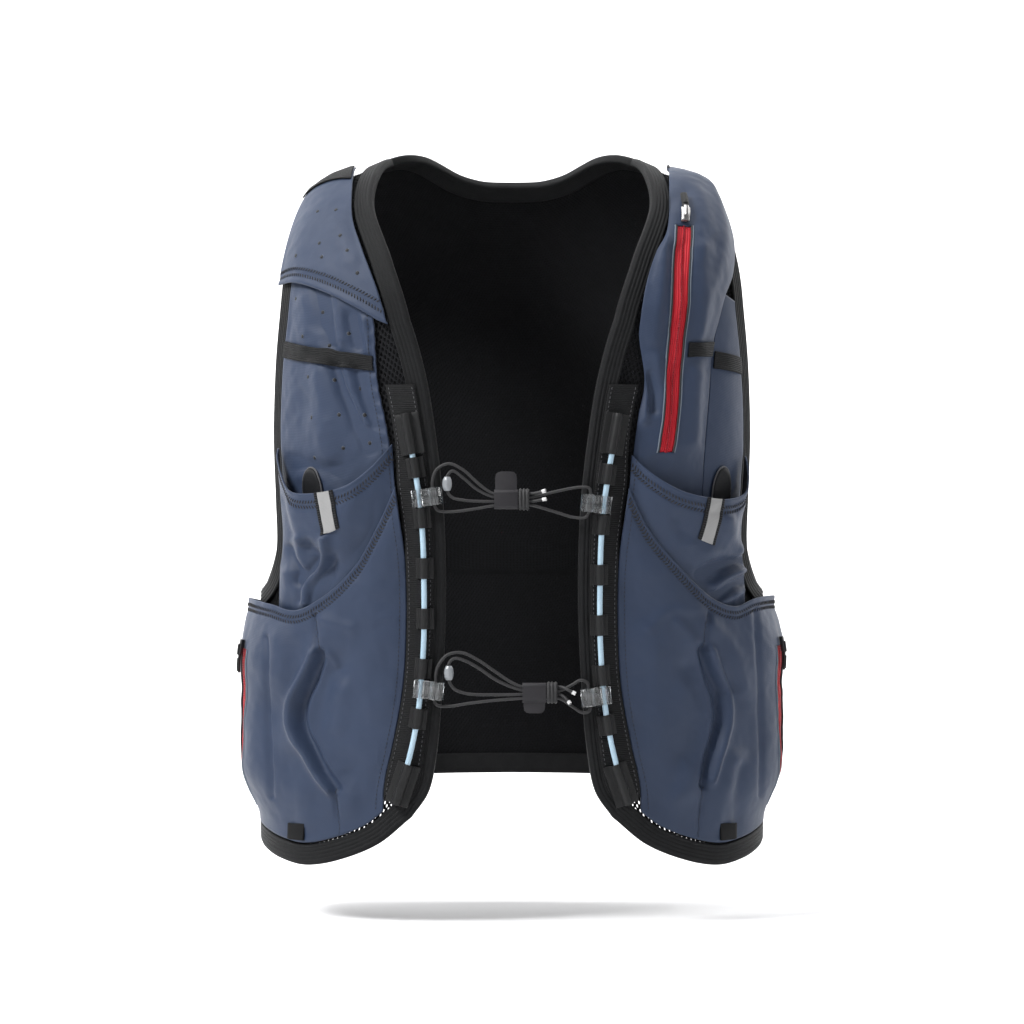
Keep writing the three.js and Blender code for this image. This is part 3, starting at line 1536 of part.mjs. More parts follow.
// Sleeve round the strands of a cord: a profile of places along it and heights over its hollow
const strandPitch = cordDiameter + seamClearance;
const hollowDepth = cordDiameter / 2 + seamClearance;
const hollowReach = ((cordStrands - 1) * strandPitch) / 2;
function strandSleeve(center, profile) {
  const stations = evenShares(sleeveSides).slice(1);
  return ringGeometry(
    stations.map((share) => {
      const angle = (share - 0.5 / sleeveSides) * 2 * Math.PI;
      const high = Math.sign(Math.sin(angle)) * hollowReach;
      return profile.map(({ along, out }) => {
        const radius = (hollowDepth + out) / Math.cos(Math.PI / sleeveSides);
        const y = Math.cos(angle) * radius;
        const z = high + Math.sin(angle) * radius;
        return new THREE.Vector3(along, y, z).add(center);
      });
    }),
  );
}

// Keeper: the sleeve that holds the strands together, with a flap above it or below it
function cordKeeper({ center, flap }) {
  const end = keeperLength / 2;
  const sleevePart = strandSleeve(center, [
    { along: -end, out: 0 },
    { along: end, out: 0 },
    { along: end, out: keeperWall },
    { along: -end, out: keeperWall },
  ]);
  const half = keeperFlapWidth / 2;
  const near = Math.sign(flap) * (hollowReach + hollowDepth + keeperWall / 2);
  const far = near + flap;
  const rounded = far - Math.sign(flap) * keeperFlapCorner;
  const outline = new THREE.Shape();
  outline.moveTo(-half, near);
  outline.lineTo(half, near);
  outline.lineTo(half, rounded);
  outline.quadraticCurveTo(half, far, half - keeperFlapCorner, far);
  outline.lineTo(keeperFlapCorner - half, far);
  outline.quadraticCurveTo(-half, far, -half, rounded);
  outline.closePath();
  const settings = { depth: keeperWall, bevelEnabled: false, curveSegments: 3 };
  const plate = new THREE.ExtrudeGeometry(outline, settings);
  plate.rotateX(Math.PI / 2);
  plate.translate(center.x, center.y + keeperWall / 2, center.z);
  return geometryFrom(solidFrom(sleevePart).add(solidFrom(closedGeometry(plate))));
}

// Wrapping of the cord round its own strands, beside the keeper
function cordWrap({ center }) {
  const turn = cordDiameter + seamClearance / 2;
  const start = keeperLength / 2 + seamClearance;
  const end = start + wrapTurns * turn;
  const dip = cordDiameter * 0.55;
  const bulges = evenShares(wrapTurns * 2).map((share, index) => ({
    along: end + (start - end) * share,
    out: index % 2 ? cordDiameter : dip,
  }));
  return strandSleeve(center, [{ along: start, out: 0 }, { along: end, out: 0 }, ...bulges]);
}

// Bead on the cord, drilled along its length
function cordBead({ bead }) {
  const bore = cordDiameter / 2 + boreClearance;
  const rim = bore + seamClearance;
  const start = Math.asin(rim / (beadDiameter / 2));
  const outer = evenShares(beadSteps).map((share) => {
    const angle = start + (Math.PI - 2 * start) * share;
    const radius = (Math.sin(angle) * beadDiameter) / 2;
    const height = (-Math.cos(angle) / Math.cos(start)) * (beadLength / 2);
    return new THREE.Vector2(radius, height);
  });
  const top = new THREE.Vector2(bore, beadLength / 2);
  const bottom = new THREE.Vector2(bore, -beadLength / 2);
  const geometry = new THREE.LatheGeometry([bottom, ...outer, top, bottom.clone()], beadSides);
  geometry.rotateX(Math.PI / 2);
  geometry.translate(bead.x, bead.y, bead.z);
  return closedGeometry(geometry);
}

const cords = [
  {
    level: 'upper',
    route: upperCordRoute,
    center: new THREE.Vector3(-3.7, -125.3, -225.1),
    bead: new THREE.Vector3(-40.8, -125.3, -215.3),
    flap: 12,
  },
  {
    level: 'lower',
    route: lowerCordRoute,
    center: new THREE.Vector3(14.1, -119.3, -346.8),
    bead: new THREE.Vector3(-39.8, -119.4, -334.4),
    flap: -7.5,
  },
];
for (const cord of cords) {
  const points = cord.route.map(({ x, y, z }) => new THREE.Vector3(x, y, z));
  const line = roundRod(points, cordDiameter, cordSides, cordSteps);
  addPiece(`sternum_cord_${cord.level}`, line, finishes.cordElastic);
  addPiece(`cord_keeper_${cord.level}`, cordKeeper(cord), finishes.darkKeeper);
  addPiece(`cord_wrap_${cord.level}`, cordWrap(cord), finishes.cordElastic);
  addPiece(`cord_bead_${cord.level}`, cordBead(cord), finishes.clearPlastic);
}

// Labels folded over the flask mouths, and the dark tabs that stand inside them
function labelOn(sheet, middle) {
  const half = shareAcross(sheet, middle, 0.1, labelWidth) / 2;
  const from = 0.01;
  return stripOnSheet(sheet, {
    fromU: middle - half,
    toU: middle + half,
    fromV: from,
    toV: from + shareDown(sheet, middle, 0.1, labelLength),
    lift: seamClearance,
    thickness: labelThickness,
  });
}
const labelPlaces = { right: 0.42, left: 0.5 };
addPiece('label_tab_right', mirroredAcross(labelOn(flaskRight, labelPlaces.right)), finishes.labelCloth);
addPiece('label_tab_left', labelOn(flaskLeft, labelPlaces.left), finishes.labelCloth);

function tabOn(sheet, middle, width, length, toV, thickness) {
  const half = shareAcross(sheet, middle, toV - 0.1, width) / 2;
  return stripOnSheet(sheet, {
    fromU: middle - half,
    toU: middle + half,
    fromV: toV - shareDown(sheet, middle, toV - 0.1, length),
    toV,
    lift: seamClearance,
    thickness,
  });
}
const tabRight = tabOn(sleeve, 0.42, flaskTabWidth, flaskTabLength, 0.97, elasticThickness);
addPiece('flask_tab_right', mirroredAcross(tabRight), finishes.blackTape);
const tabLeft = tabOn(chestSide, 0.45, flaskTabWidth, flaskTabLength, 0.97, elasticThickness);
addPiece('flask_tab_left', tabLeft, finishes.blackTape);

// Tabs at the hem, on the lower pockets
function hemTab({ sheet }) {
  const middle = 0.31;
  return tabOn(sheet, middle, hemTabWidth, hemTabLength, 0.995, hemTabThickness);
}
addPiece('hem_tab_right', mirroredAcross(hemTab(lowerRight)), finishes.blackTape);
addPiece('hem_tab_left', hemTab(lowerLeft), finishes.blackTape);

// Tabs that stand out of the armhole edging at the back of each shoulder
function shoulderTab() {
  const from = 1 - shoulderTabWidth / lengthOver(backArmhole, 24);
  const near = 3 * seamClearance + bindingThickness;
  const thickness = 2 * tapeThickness;
  const place = (u, v) => {
    const t = from + (1 - from) * v;
    const step = near + shoulderTabLength * u;
    return movedPlace(backArmhole(t), sidewaysAt(backArmhole, t).multiplyScalar(step));
  };
  return makeSheet({
    place,
    across: evenShares(1),
    down: evenShares(1),
    height: () => 0,
    thickness,
  }).geometry;
}
addPiece('shoulder_tab_left', shoulderTab(), finishes.blackTape);
addPiece('shoulder_tab_right', mirroredAcross(shoulderTab()), finishes.blackTape);

export default vest;
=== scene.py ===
import math

import bmesh
import bpy
import numpy as np
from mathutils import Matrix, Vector, noise


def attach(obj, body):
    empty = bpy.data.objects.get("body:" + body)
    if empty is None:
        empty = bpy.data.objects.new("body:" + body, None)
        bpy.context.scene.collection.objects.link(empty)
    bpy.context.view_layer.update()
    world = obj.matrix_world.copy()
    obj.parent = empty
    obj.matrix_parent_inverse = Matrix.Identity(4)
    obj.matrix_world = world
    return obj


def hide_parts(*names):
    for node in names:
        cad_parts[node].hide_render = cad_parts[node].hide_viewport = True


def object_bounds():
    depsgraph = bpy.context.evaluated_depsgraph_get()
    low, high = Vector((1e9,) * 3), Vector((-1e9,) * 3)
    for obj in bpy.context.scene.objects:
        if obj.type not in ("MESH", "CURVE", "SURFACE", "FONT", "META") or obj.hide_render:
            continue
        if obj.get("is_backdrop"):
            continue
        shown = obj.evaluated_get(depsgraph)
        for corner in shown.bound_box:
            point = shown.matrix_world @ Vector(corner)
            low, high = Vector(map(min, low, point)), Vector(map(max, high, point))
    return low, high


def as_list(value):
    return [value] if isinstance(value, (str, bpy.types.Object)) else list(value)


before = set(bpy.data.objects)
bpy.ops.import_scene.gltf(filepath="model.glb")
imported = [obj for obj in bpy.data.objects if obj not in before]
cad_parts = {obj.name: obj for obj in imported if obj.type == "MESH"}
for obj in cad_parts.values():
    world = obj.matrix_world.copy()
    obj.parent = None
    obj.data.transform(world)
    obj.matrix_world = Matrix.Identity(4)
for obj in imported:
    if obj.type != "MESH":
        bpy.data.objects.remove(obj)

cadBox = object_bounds()
mm = 0.001  # the shapes are worked out in millimetres and made in metres

# the camera comes first
camera = {"place": (0, -2.62, -0.233), "lens": 139.5, "sensor": 36}
cameraData = bpy.data.cameras.new("camera")
cameraData.lens = camera["lens"]
cameraData.sensor_width = camera["sensor"]
cameraData.clip_end = 30
cameraObject = bpy.data.objects.new("camera", cameraData)
cameraObject.location = camera["place"]
cameraObject.rotation_euler = (math.pi / 2, 0, 0)
bpy.context.scene.collection.objects.link(cameraObject)
bpy.context.scene.camera = cameraObject


# materials
def addNode(tree, kind, settings=None, inputs=None):
    made = tree.nodes.new(kind)
    for name, value in (settings or {}).items():
        setattr(made, name, value)
    for name, value in (inputs or {}).items():
        if isinstance(value, bpy.types.NodeSocket):
            tree.links.new(value, made.inputs[name])
        else:
            made.inputs[name].default_value = value
    return made


def startMaterial(name, look):
    made = bpy.data.materials.new(name)
    made.use_nodes = True
    shader = made.node_tree.nodes["Principled BSDF"]
    shader.inputs["Roughness"].default_value = look["roughness"]
    shader.inputs["Metallic"].default_value = look.get("metal", 0)
    shader.inputs["Specular IOR Level"].default_value = look.get("gloss", 0.5)
    shader.inputs["Sheen Weight"].default_value = look.get("sheen", 0)
    shader.inputs["Sheen Roughness"].default_value = look.get("sheenSpread", 0.5)
    return made, made.node_tree, shader


def waveScale(pitch):
    return math.pi / 10 / pitch  # one band of the wave texture each pitch


def mottled(tree, coordinates, look):
    cloud = addNode(
        tree,
        "ShaderNodeTexNoise",
        inputs={"Vector": coordinates, "Scale": look["patch"], "Detail": 4.0, "Roughness": 0.6},
    )
    mixed = addNode(
        tree,
        "ShaderNodeMix",
        {"data_type": "RGBA"},
        {"Factor": cloud.outputs["Fac"]},
    )
    mixed.inputs[6].default_value = (*look["dark"], 1)
    mixed.inputs[7].default_value = (*look["light"], 1)
    return mixed.outputs[2]


def bumped(tree, shader, steps):
    normal = None
    for height, strength, distance in steps:
        inputs = {"Height": height, "Strength": strength, "Distance": distance}
        if normal:
            inputs["Normal"] = normal
        normal = addNode(tree, "ShaderNodeBump", inputs=inputs).outputs["Normal"]
    tree.links.new(normal, shader.inputs["Normal"])


def wovenCloth(name, look):
    made, tree, shader = startMaterial(name, look)
    place = addNode(tree, "ShaderNodeTexCoord")
    uv = place.outputs["UV"]
    bands = []
    for direction, pitch in (("X", look["pitch"]), ("Y", look["pitch"] * look["pitchRatio"])):
        wave = addNode(
            tree,
            "ShaderNodeTexWave",
            {"bands_direction": direction},
            {"Vector": uv, "Scale": waveScale(pitch), "Distortion": 0.6, "Detail": 2.0, "Detail Scale": 2.0},
        )
        bands.append(wave.outputs["Fac"])
    crossed = addNode(tree, "ShaderNodeMath", {"operation": "MULTIPLY"})
    tree.links.new(bands[0], crossed.inputs[0])
    tree.links.new(bands[1], crossed.inputs[1])
    color = mottled(tree, place.outputs["Object"], look)
    # painted shade: the cloth colour is darkened between the threads, where the weave's hollows would lie in
    # shadow
    shadedWeave = addNode(tree, "ShaderNodeMix", {"data_type": "RGBA", "blend_type": "MULTIPLY"})
    shadedWeave.inputs[0].default_value = look["paintedThreadShade"]
    tree.links.new(color, shadedWeave.inputs[6])
    tree.links.new(crossed.outputs[0], shadedWeave.inputs[7])
    tree.links.new(shadedWeave.outputs[2], shader.inputs["Base Color"])
    crumple = addNode(
        tree,
        "ShaderNodeTexNoise",
        inputs={"Vector": place.outputs["Object"], "Scale": look["crumple"], "Detail": 5.0},
    )
    bumped(
        tree,
        shader,
        [
            (crumple.outputs["Fac"], look["crumpleDepth"], 0.0015),
            (crossed.outputs[0], look["weaveDepth"], 0.0003),
        ],
    )
    return made


def holedMesh(name, look):  # knitted mesh with staggered oval holes, either see-through or closed with painted shade in each hole
    made, tree, shader = startMaterial(name, look)
    place = addNode(tree, "ShaderNodeTexCoord")
    root = math.sqrt(2)
    turned = addNode(
        tree,
        "ShaderNodeMapping",
        inputs={
            "Vector": place.outputs["UV"],
            "Scale": (root / look["pitch"][0], root / look["pitch"][1], 1),
            "Rotation": (0, 0, math.pi / 4),
        },
    )
    cells = addNode(
        tree,
        "ShaderNodeTexVoronoi",
        {"voronoi_dimensions": "2D"},
        {"Vector": turned.outputs["Vector"], "Scale": 1.0, "Randomness": 0.0},
    )
    edge = addNode(
        tree,
        "ShaderNodeMapRange",
        {"interpolation_type": "SMOOTHSTEP"},
        {"Value": cells.outputs["Distance"], "From Min": look["hole"], "From Max": look["hole"] + 0.12},
    )
    color = mottled(tree, place.outputs["Object"], look)
    # painted shade: the colour inside each hole is darkened towards the hole colour, as if the hole's depth
    # lay in shadow
    sunk = addNode(tree, "ShaderNodeMix", {"data_type": "RGBA"}, {"Factor": edge.outputs["Result"]})
    sunk.inputs[6].default_value = (*look["bottom"], 1)
    tree.links.new(color, sunk.inputs[7])
    tree.links.new(sunk.outputs[2], shader.inputs["Base Color"])
    if look["open"]:
        tree.links.new(edge.outputs["Result"], shader.inputs["Alpha"])
    bumped(tree, shader, [(edge.outputs["Result"], 0.9, 0.0006)])
    return made


def ribbedTape(name, look):
    made, tree, shader = startMaterial(name, look)
    place = addNode(tree, "ShaderNodeTexCoord")
    waves = []
    for direction, pitch in (("Y", look["rib"]), ("X", look["pick"])):
        wave = addNode(
            tree,
            "ShaderNodeTexWave",
            {"bands_direction": direction},
            {"Vector": place.outputs["UV"], "Scale": waveScale(pitch), "Distortion": 0.4, "Detail": 1.0},
        )
        waves.append(wave.outputs["Fac"])
    color = mottled(tree, place.outputs["Object"], look)
    # painted shade: the tape colour is darkened in the grooves between the ribs, leaving the ridges lighter
    lit = addNode(tree, "ShaderNodeMix", {"data_type": "RGBA", "blend_type": "MULTIPLY"})
    lit.inputs[0].default_value = look["paintedRibShade"]
    tree.links.new(color, lit.inputs[6])
    tree.links.new(waves[0], lit.inputs[7])
    tree.links.new(lit.outputs[2], shader.inputs["Base Color"])
    fuzz = addNode(
        tree,
        "ShaderNodeTexNoise",
        inputs={"Vector": place.outputs["Object"], "Scale": 2500.0, "Detail": 2.0},
    )
    bumped(
        tree,
        shader,
        [(fuzz.outputs["Fac"], 0.35, 0.0004), (waves[0], look["ribDepth"], 0.0005), (waves[1], 0.25, 0.0002)],
    )
    return made


def grained(name, look):  # moulded plastic, metal, rubber and thread
    made, tree, shader = startMaterial(name, look)
    place = addNode(tree, "ShaderNodeTexCoord")
    tree.links.new(mottled(tree, place.outputs["Object"], look), shader.inputs["Base Color"])
    grain = addNode(
        tree,
        "ShaderNodeTexNoise",
        inputs={"Vector": place.outputs["Object"], "Scale": look["grain"], "Detail": 3.0},
    )
    worn = addNode(
        tree,
        "ShaderNodeMapRange",
        inputs={
            "Value": grain.outputs["Fac"],
            "To Min": look["roughness"] * 0.8,
            "To Max": min(look["roughness"] * 1.25, 1),
        },
    )
    tree.links.new(worn.outputs["Result"], shader.inputs["Roughness"])
    bumped(tree, shader, [(grain.outputs["Fac"], look["grainDepth"], 0.0003)])
    shader.inputs["Transmission Weight"].default_value = look.get("clear", 0)
    shader.inputs["IOR"].default_value = look.get("ior", 1.5)
    return made


# each cloth look below sets how strongly painted shade darkens the hollows between threads
navyLook = {
    "dark": (0.015, 0.027, 0.058), "light": (0.026, 0.043, 0.088), "patch": 14, "roughness": 0.58,
    "gloss": 0.34, "sheen": 0.08, "sheenSpread": 0.4, "pitch": 0.00075, "pitchRatio": 1.35,
    "paintedThreadShade": 0.16, "crumple": 90, "crumpleDepth": 0.16, "weaveDepth": 0.22,
}
navyCloth = wovenCloth("navy stretch cloth", navyLook)
liningCloth = wovenCloth("dark pocket lining", {
    **navyLook, "dark": (0.004, 0.0045, 0.006), "light": (0.009, 0.01, 0.013), "sheen": 0.03, "gloss": 0.2,
    "paintedThreadShade": 0.4,
})
keeperCloth = wovenCloth("dark keeper cloth", {
    **navyLook, "dark": (0.014, 0.013, 0.016), "light": (0.026, 0.024, 0.029), "paintedThreadShade": 0.35,
    "sheen": 0.06, "weaveDepth": 0.5, "pitch": 0.0009,
})
labelSatin = wovenCloth("grey label satin", {
    **navyLook, "dark": (0.24, 0.24, 0.24), "light": (0.34, 0.34, 0.34), "roughness": 0.4, "gloss": 0.5,
    "paintedThreadShade": 0.2, "crumpleDepth": 0.05, "pitch": 0.0006,
})
# the hole colour of each mesh below is painted shade for the inside of its holes
openMesh = holedMesh("open black mesh", {
    "dark": (0.005, 0.0052, 0.006), "light": (0.011, 0.0115, 0.013), "patch": 60, "roughness": 0.8,
    "gloss": 0.1, "sheen": 0.0, "pitch": (0.0034, 0.0052), "hole": 0.27, "bottom": (0.002, 0.002, 0.002),
    "open": True,
})
backMesh = holedMesh("close black mesh", {
    "dark": (0.0025, 0.0027, 0.0034), "light": (0.006, 0.0064, 0.008), "patch": 30, "roughness": 0.75,
    "gloss": 0.12, "sheen": 0.0, "pitch": (0.0023, 0.0036), "hole": 0.22, "bottom": (0.002, 0.002, 0.002),
    "open": False,
})
# the binding, elastic and zip tapes below carry painted shade in their rib grooves
bindingTape = ribbedTape("black ribbed binding", {
    "dark": (0.005, 0.0053, 0.006), "light": (0.011, 0.0115, 0.0125), "patch": 120, "roughness": 0.6,
    "gloss": 0.16, "sheen": 0.0, "rib": 0.0005, "pick": 0.0011, "paintedRibShade": 0.35, "ribDepth": 0.3,
})
elasticTape = ribbedTape("black elastic", {
    "dark": (0.005, 0.0053, 0.006), "light": (0.011, 0.0115, 0.0125), "patch": 200, "roughness": 0.64,
    "gloss": 0.16, "sheen": 0.0, "rib": 0.0012, "pick": 0.0009, "paintedRibShade": 0.45, "ribDepth": 0.55,
})
redTape = ribbedTape("red zip tape", {
    "dark": (0.4, 0.003, 0.012), "light": (0.55, 0.006, 0.02), "patch": 90, "roughness": 0.6,
    "gloss": 0.3, "sheen": 0.05, "rib": 0.0014, "pick": 0.0009, "paintedRibShade": 0.3, "ribDepth": 0.6,
})
redCoil = grained("red zip coil", {
    "dark": (0.33, 0.003, 0.012), "light": (0.48, 0.006, 0.02), "patch": 300, "roughness": 0.38,
    "grain": 900, "grainDepth": 0.05,
})
rubber = grained("soft black rubber", {
    "dark": (0.007, 0.0072, 0.0076), "light": (0.013, 0.0133, 0.014), "patch": 80, "roughness": 0.5,
    "gloss": 0.25, "grain": 1500, "grainDepth": 0.3,
})
railPlastic = grained("blue grey rail plastic", {
    "dark": (0.27, 0.4, 0.5), "light": (0.42, 0.56, 0.66), "patch": 120, "roughness": 0.28,
    "grain": 500, "grainDepth": 0.05,
})
clearPlastic = grained("clear plastic", {
    "dark": (0.86, 0.89, 0.91), "light": (0.95, 0.97, 0.98), "patch": 60, "roughness": 0.04,
    "grain": 700, "grainDepth": 0.02, "clear": 0.97, "ior": 1.46,
})
beadPlastic = grained("grey bead plastic", {
    "dark": (0.16, 0.175, 0.19), "light": (0.26, 0.275, 0.29), "patch": 200, "roughness": 0.2,
    "grain": 900, "grainDepth": 0.05,
})
blackMetal = grained("black zip metal", {
    "dark": (0.02, 0.02, 0.022), "light": (0.05, 0.05, 0.052), "patch": 250, "roughness": 0.35,
    "metal": 0.8, "grain": 1200, "grainDepth": 0.1,
})
brightMetal = grained("worn steel", {
    "dark": (0.2, 0.2, 0.2), "light": (0.42, 0.41, 0.4), "patch": 250, "roughness": 0.3,
    "metal": 1, "grain": 1200, "grainDepth": 0.1,
})
blackThread = grained("black thread", {
    "dark": (0.004, 0.004, 0.006), "light": (0.01, 0.01, 0.013), "patch": 900, "roughness": 0.7,
    "grain": 3000, "grainDepth": 0.2,
})
greyThread = grained("grey thread", {
    "dark": (0.05, 0.051, 0.055), "light": (0.1, 0.1, 0.11), "patch": 900, "roughness": 0.7,
    "grain": 3000, "grainDepth": 0.2,
})
paleThread = grained("pale piping", {
    "dark": (0.07, 0.09, 0.12), "light": (0.14, 0.17, 0.21), "patch": 500, "roughness": 0.6,
    "grain": 2000, "grainDepth": 0.2,
})
tipPlastic = grained("pale cord tip", {
    "dark": (0.5, 0.5, 0.5), "light": (0.7, 0.7, 0.7), "patch": 600, "roughness": 0.35,
    "grain": 900, "grainDepth": 0.05,
})
cordBraid = grained("black braided elastic", {
    "dark": (0.004, 0.004, 0.0045), "light": (0.022, 0.022, 0.024), "patch": 1300, "roughness": 0.6,
    "grain": 1800, "grainDepth": 0.5,
})
print("materials made")


# the body that the vest is shaped round, as in the CAD model
body = {
    "drop": 458.0, "halfWidth": 158.0, "chestDepth": 122.0, "backDepth": 92.0, "shoulderRound": 112.0,
    "planPower": 2.3, "turnStep": 0.5, "downStep": 1.0,
}
trunk = {
    "at": (0, 0.25, 0.5, 0.75, 1),
    "wide": (0.98, 1, 1.01, 1.03, 1.02),
    "front": (1, 1, 0.98, 0.93, 0.9),
    "back": (1, 1, 0.97, 0.92, 0.9),
}
shoulders = {
    "at": (0, 0.25, 0.44, 0.57, 0.8, 0.95, 1.05),
    "rise": (0.0175, 0.0131, 0, -0.0175, -0.0524, -0.109, -0.157),
}
perDegree = body["halfWidth"] * math.pi / 180


def between(table, at, column):
    knots = np.array(table["at"], float)
    values = np.array(table[column], float)
    last = len(knots) - 1
    before = np.maximum(np.arange(last + 1) - 1, 0)
    after = np.minimum(np.arange(last + 1) + 1, last)
    slopes = (values[after] - values[before]) / (knots[after] - knots[before])
    place = np.clip(at, knots[0], knots[last])
    index = np.clip(np.searchsorted(knots, place) - 1, 0, last - 1)
    run = knots[index + 1] - knots[index]
    t = (place - knots[index]) / run
    ease = t * t * (3 - 2 * t)
    start = run * slopes[index] * t * (1 - t) * (1 - t)
    end = run * slopes[index + 1] * t * t * (t - 1)
    return values[index] * (1 - ease) + values[index + 1] * ease + start + end


def trunkPoint(turn, drop):
    angle = np.radians(turn)
    sine, cosine = np.sin(angle), np.cos(angle)
    share = np.abs(drop) / body["drop"]
    power = 2 / body["planPower"]
    wide = body["halfWidth"] * between(trunk, share, "wide")
    front = body["chestDepth"] * between(trunk, share, "front")
    back = body["backDepth"] * between(trunk, share, "back")
    x = wide * np.sign(sine) * np.abs(sine) ** power
    roll = np.clip(drop / body["shoulderRound"], -1, 1) * math.pi / 2
    y = -np.where(cosine >= 0, front, back) * np.sign(cosine) * np.abs(cosine) ** power * np.sin(roll)
    ridge = body["drop"] * between(shoulders, np.abs(x) / body["halfWidth"], "rise")
    rounded = ridge + (1 - np.cos(roll)) * (-body["shoulderRound"] - ridge)
    return np.stack([x, y, np.where(drop < body["shoulderRound"], rounded, -drop)], -1)


def unit(vectors):
    return vectors / np.maximum(np.linalg.norm(vectors, axis=-1, keepdims=True), 1e-12)


def overShoulder(places):
    turn, down = places[..., 0], places[..., 1]
    over = down < 0
    return np.stack([np.where(over, np.sign(turn) * 180 - turn, turn), np.abs(down)], -1)


def bodyFrame(places):
    turn, drop = places[..., 0], places[..., 1] * body["drop"]
    step, fall = body["turnStep"], body["downStep"]
    above = np.maximum(drop - fall, 0)
    across = (trunkPoint(turn + step, drop) - trunkPoint(turn - step, drop)) / (2 * step)
    run = (drop + fall - above)[..., None]
    downward = (trunkPoint(turn, drop + fall) - trunkPoint(turn, above)) / run
    return across, downward, unit(np.cross(downward, across))


def bodyPoint(places, height=0.0):
    here = overShoulder(places)
    normal = bodyFrame(here)[2]
    lift = np.broadcast_to(height, here.shape[:-1])[..., None]
    return trunkPoint(here[..., 0], here[..., 1] * body["drop"]) + normal * lift


def movedPlace(places, vectors):
    across, downward, _ = bodyFrame(places)
    aa, ad, dd = (across * across).sum(-1), (across * downward).sum(-1), (downward * downward).sum(-1)
    va, vd = (vectors * across).sum(-1), (vectors * downward).sum(-1)
    det = aa * dd - ad * ad
    turn = (va * dd - vd * ad) / det
    drop = (vd * aa - va * ad) / det
    return np.stack([places[..., 0] + turn, places[..., 1] + drop / body["drop"]], -1)


def smoothPoints(points, perSpan=24):  # centripetal Catmull-Rom through the points
    points = np.array(points, float)
    ends = (2 * points[0] - points[1], 2 * points[-1] - points[-2])
    held = np.vstack([ends[0], points, ends[1]])
    made = []
    for index in range(len(points) - 1):
        p0, p1, p2, p3 = held[index:index + 4]
        d0, d1, d2 = (max(np.linalg.norm(b - a) ** 0.5, 1e-4) for a, b in ((p0, p1), (p1, p2), (p2, p3)))
        start = ((p1 - p0) / d0 - (p2 - p0) / (d0 + d1) + (p2 - p1) / d1) * d1
        end = ((p2 - p1) / d1 - (p3 - p1) / (d1 + d2) + (p3 - p2) / d2) * d1
        t = np.arange(perSpan)[:, None] / perSpan
        cubic = 2 * p1 - 2 * p2 + start + end
        square = -3 * p1 + 3 * p2 - 2 * start - end
        made.append(p1 + start * t + square * t ** 2 + cubic * t ** 3)
    return np.vstack([*made, points[-1:]])


def shareLine(points):  # a line of points, read by its share from 0 to 1
    steps = np.linalg.norm(np.diff(points, axis=0), axis=1)
    shares = np.concatenate([[0], np.cumsum(steps)])
    shares /= shares[-1]

    def line(t):
        held = np.clip(t, 0, 1)
        return np.stack([np.interp(held, shares, points[:, axis]) for axis in range(points.shape[1])], -1)

    return line


def lineThrough(rows):
    scale = np.array([perDegree, body["drop"]])
    line = shareLine(smoothPoints(np.array(rows, float) * scale))
    return lambda t: line(t) / scale


def joinedLine(parts, coarse=False):
    total = sum(steps for _, steps in parts)
    shares, places, done = [], [], 0
    for line, steps in parts:
        t = np.linspace(0, 1, (steps if coarse else 39) + 1)
        shares.append((done + t * steps) / total)
        places.append(line(t))
        done += steps
    shares, places = np.concatenate(shares), np.vstack(places)
    return lambda t: np.stack([np.interp(t, shares, places[:, axis]) for axis in (0, 1)], -1)


def straightLine(start, end):
    start, end = np.array(start, float), np.array(end, float)
    return lambda t: start + (end - start) * np.asarray(t)[..., None]


def partOfLine(line, start, end):
    return lambda t: line(start + (end - start) * np.asarray(t))


def sidewaysAt(line, t):
    reach = 0.01
    along = unit(bodyPoint(line(np.minimum(t + reach, 1))) - bodyPoint(line(np.maximum(t - reach, 0))))
    return unit(np.cross(bodyFrame(overShoulder(line(t)))[2], along))


def insetLine(line, distance, samples=24):
    t = np.linspace(0, 1, samples + 1)
    return lineThrough(movedPlace(line(t), sidewaysAt(line, t) * distance))


def sheetBetween(top, bottom, inner, outer):
    corners = [inner(0.0), outer(0.0), inner(1.0), outer(1.0)]

    def place(u, v):
        a, b = u[..., None], v[..., None]
        ruled = (1 - a) * inner(v) + a * outer(v) + (1 - b) * top(u) + b * bottom(u)
        upper = (1 - b) * ((1 - a) * corners[0] + a * corners[1])
        return ruled - upper - b * ((1 - a) * corners[2] + a * corners[3])

    return place


def shareAt(line, axis, value):
    low, high = 0.0, 1.0
    for _ in range(40):
        middle = (low + high) / 2
        if line(middle)[axis] < value:
            low = middle
        else:
            high = middle
    return (low + high) / 2


def soft(t):
    held = np.clip(t, 0, 1)
    return held * held * (3 - 2 * held)


def arch(t):
    return np.maximum(np.sin(math.pi * np.clip(t, 0, 1)), 0)


def knotSteps(knots, counts):  # shares from knot to knot, with a count of steps for each stretch
    runs = [np.linspace(a, b, count) for a, b, count in zip(knots, knots[1:], counts)]
    return np.concatenate([run[:-1] for run in runs[:-1]] + [runs[-1]])


def foldsAt(folds, u, v):
    total = np.zeros_like(u)
    for fromU, fromV, toU, toV, width, height in folds:
        across, down = toU - fromU, toV - fromV
        along = ((u - fromU) * across + (v - fromV) * down) / (across ** 2 + down ** 2)
        held = np.clip(along, 0, 1)
        off = np.hypot(u - fromU - held * across, v - fromV - held * down)
        total += height * np.exp(-((off / width) ** 2))
    return total


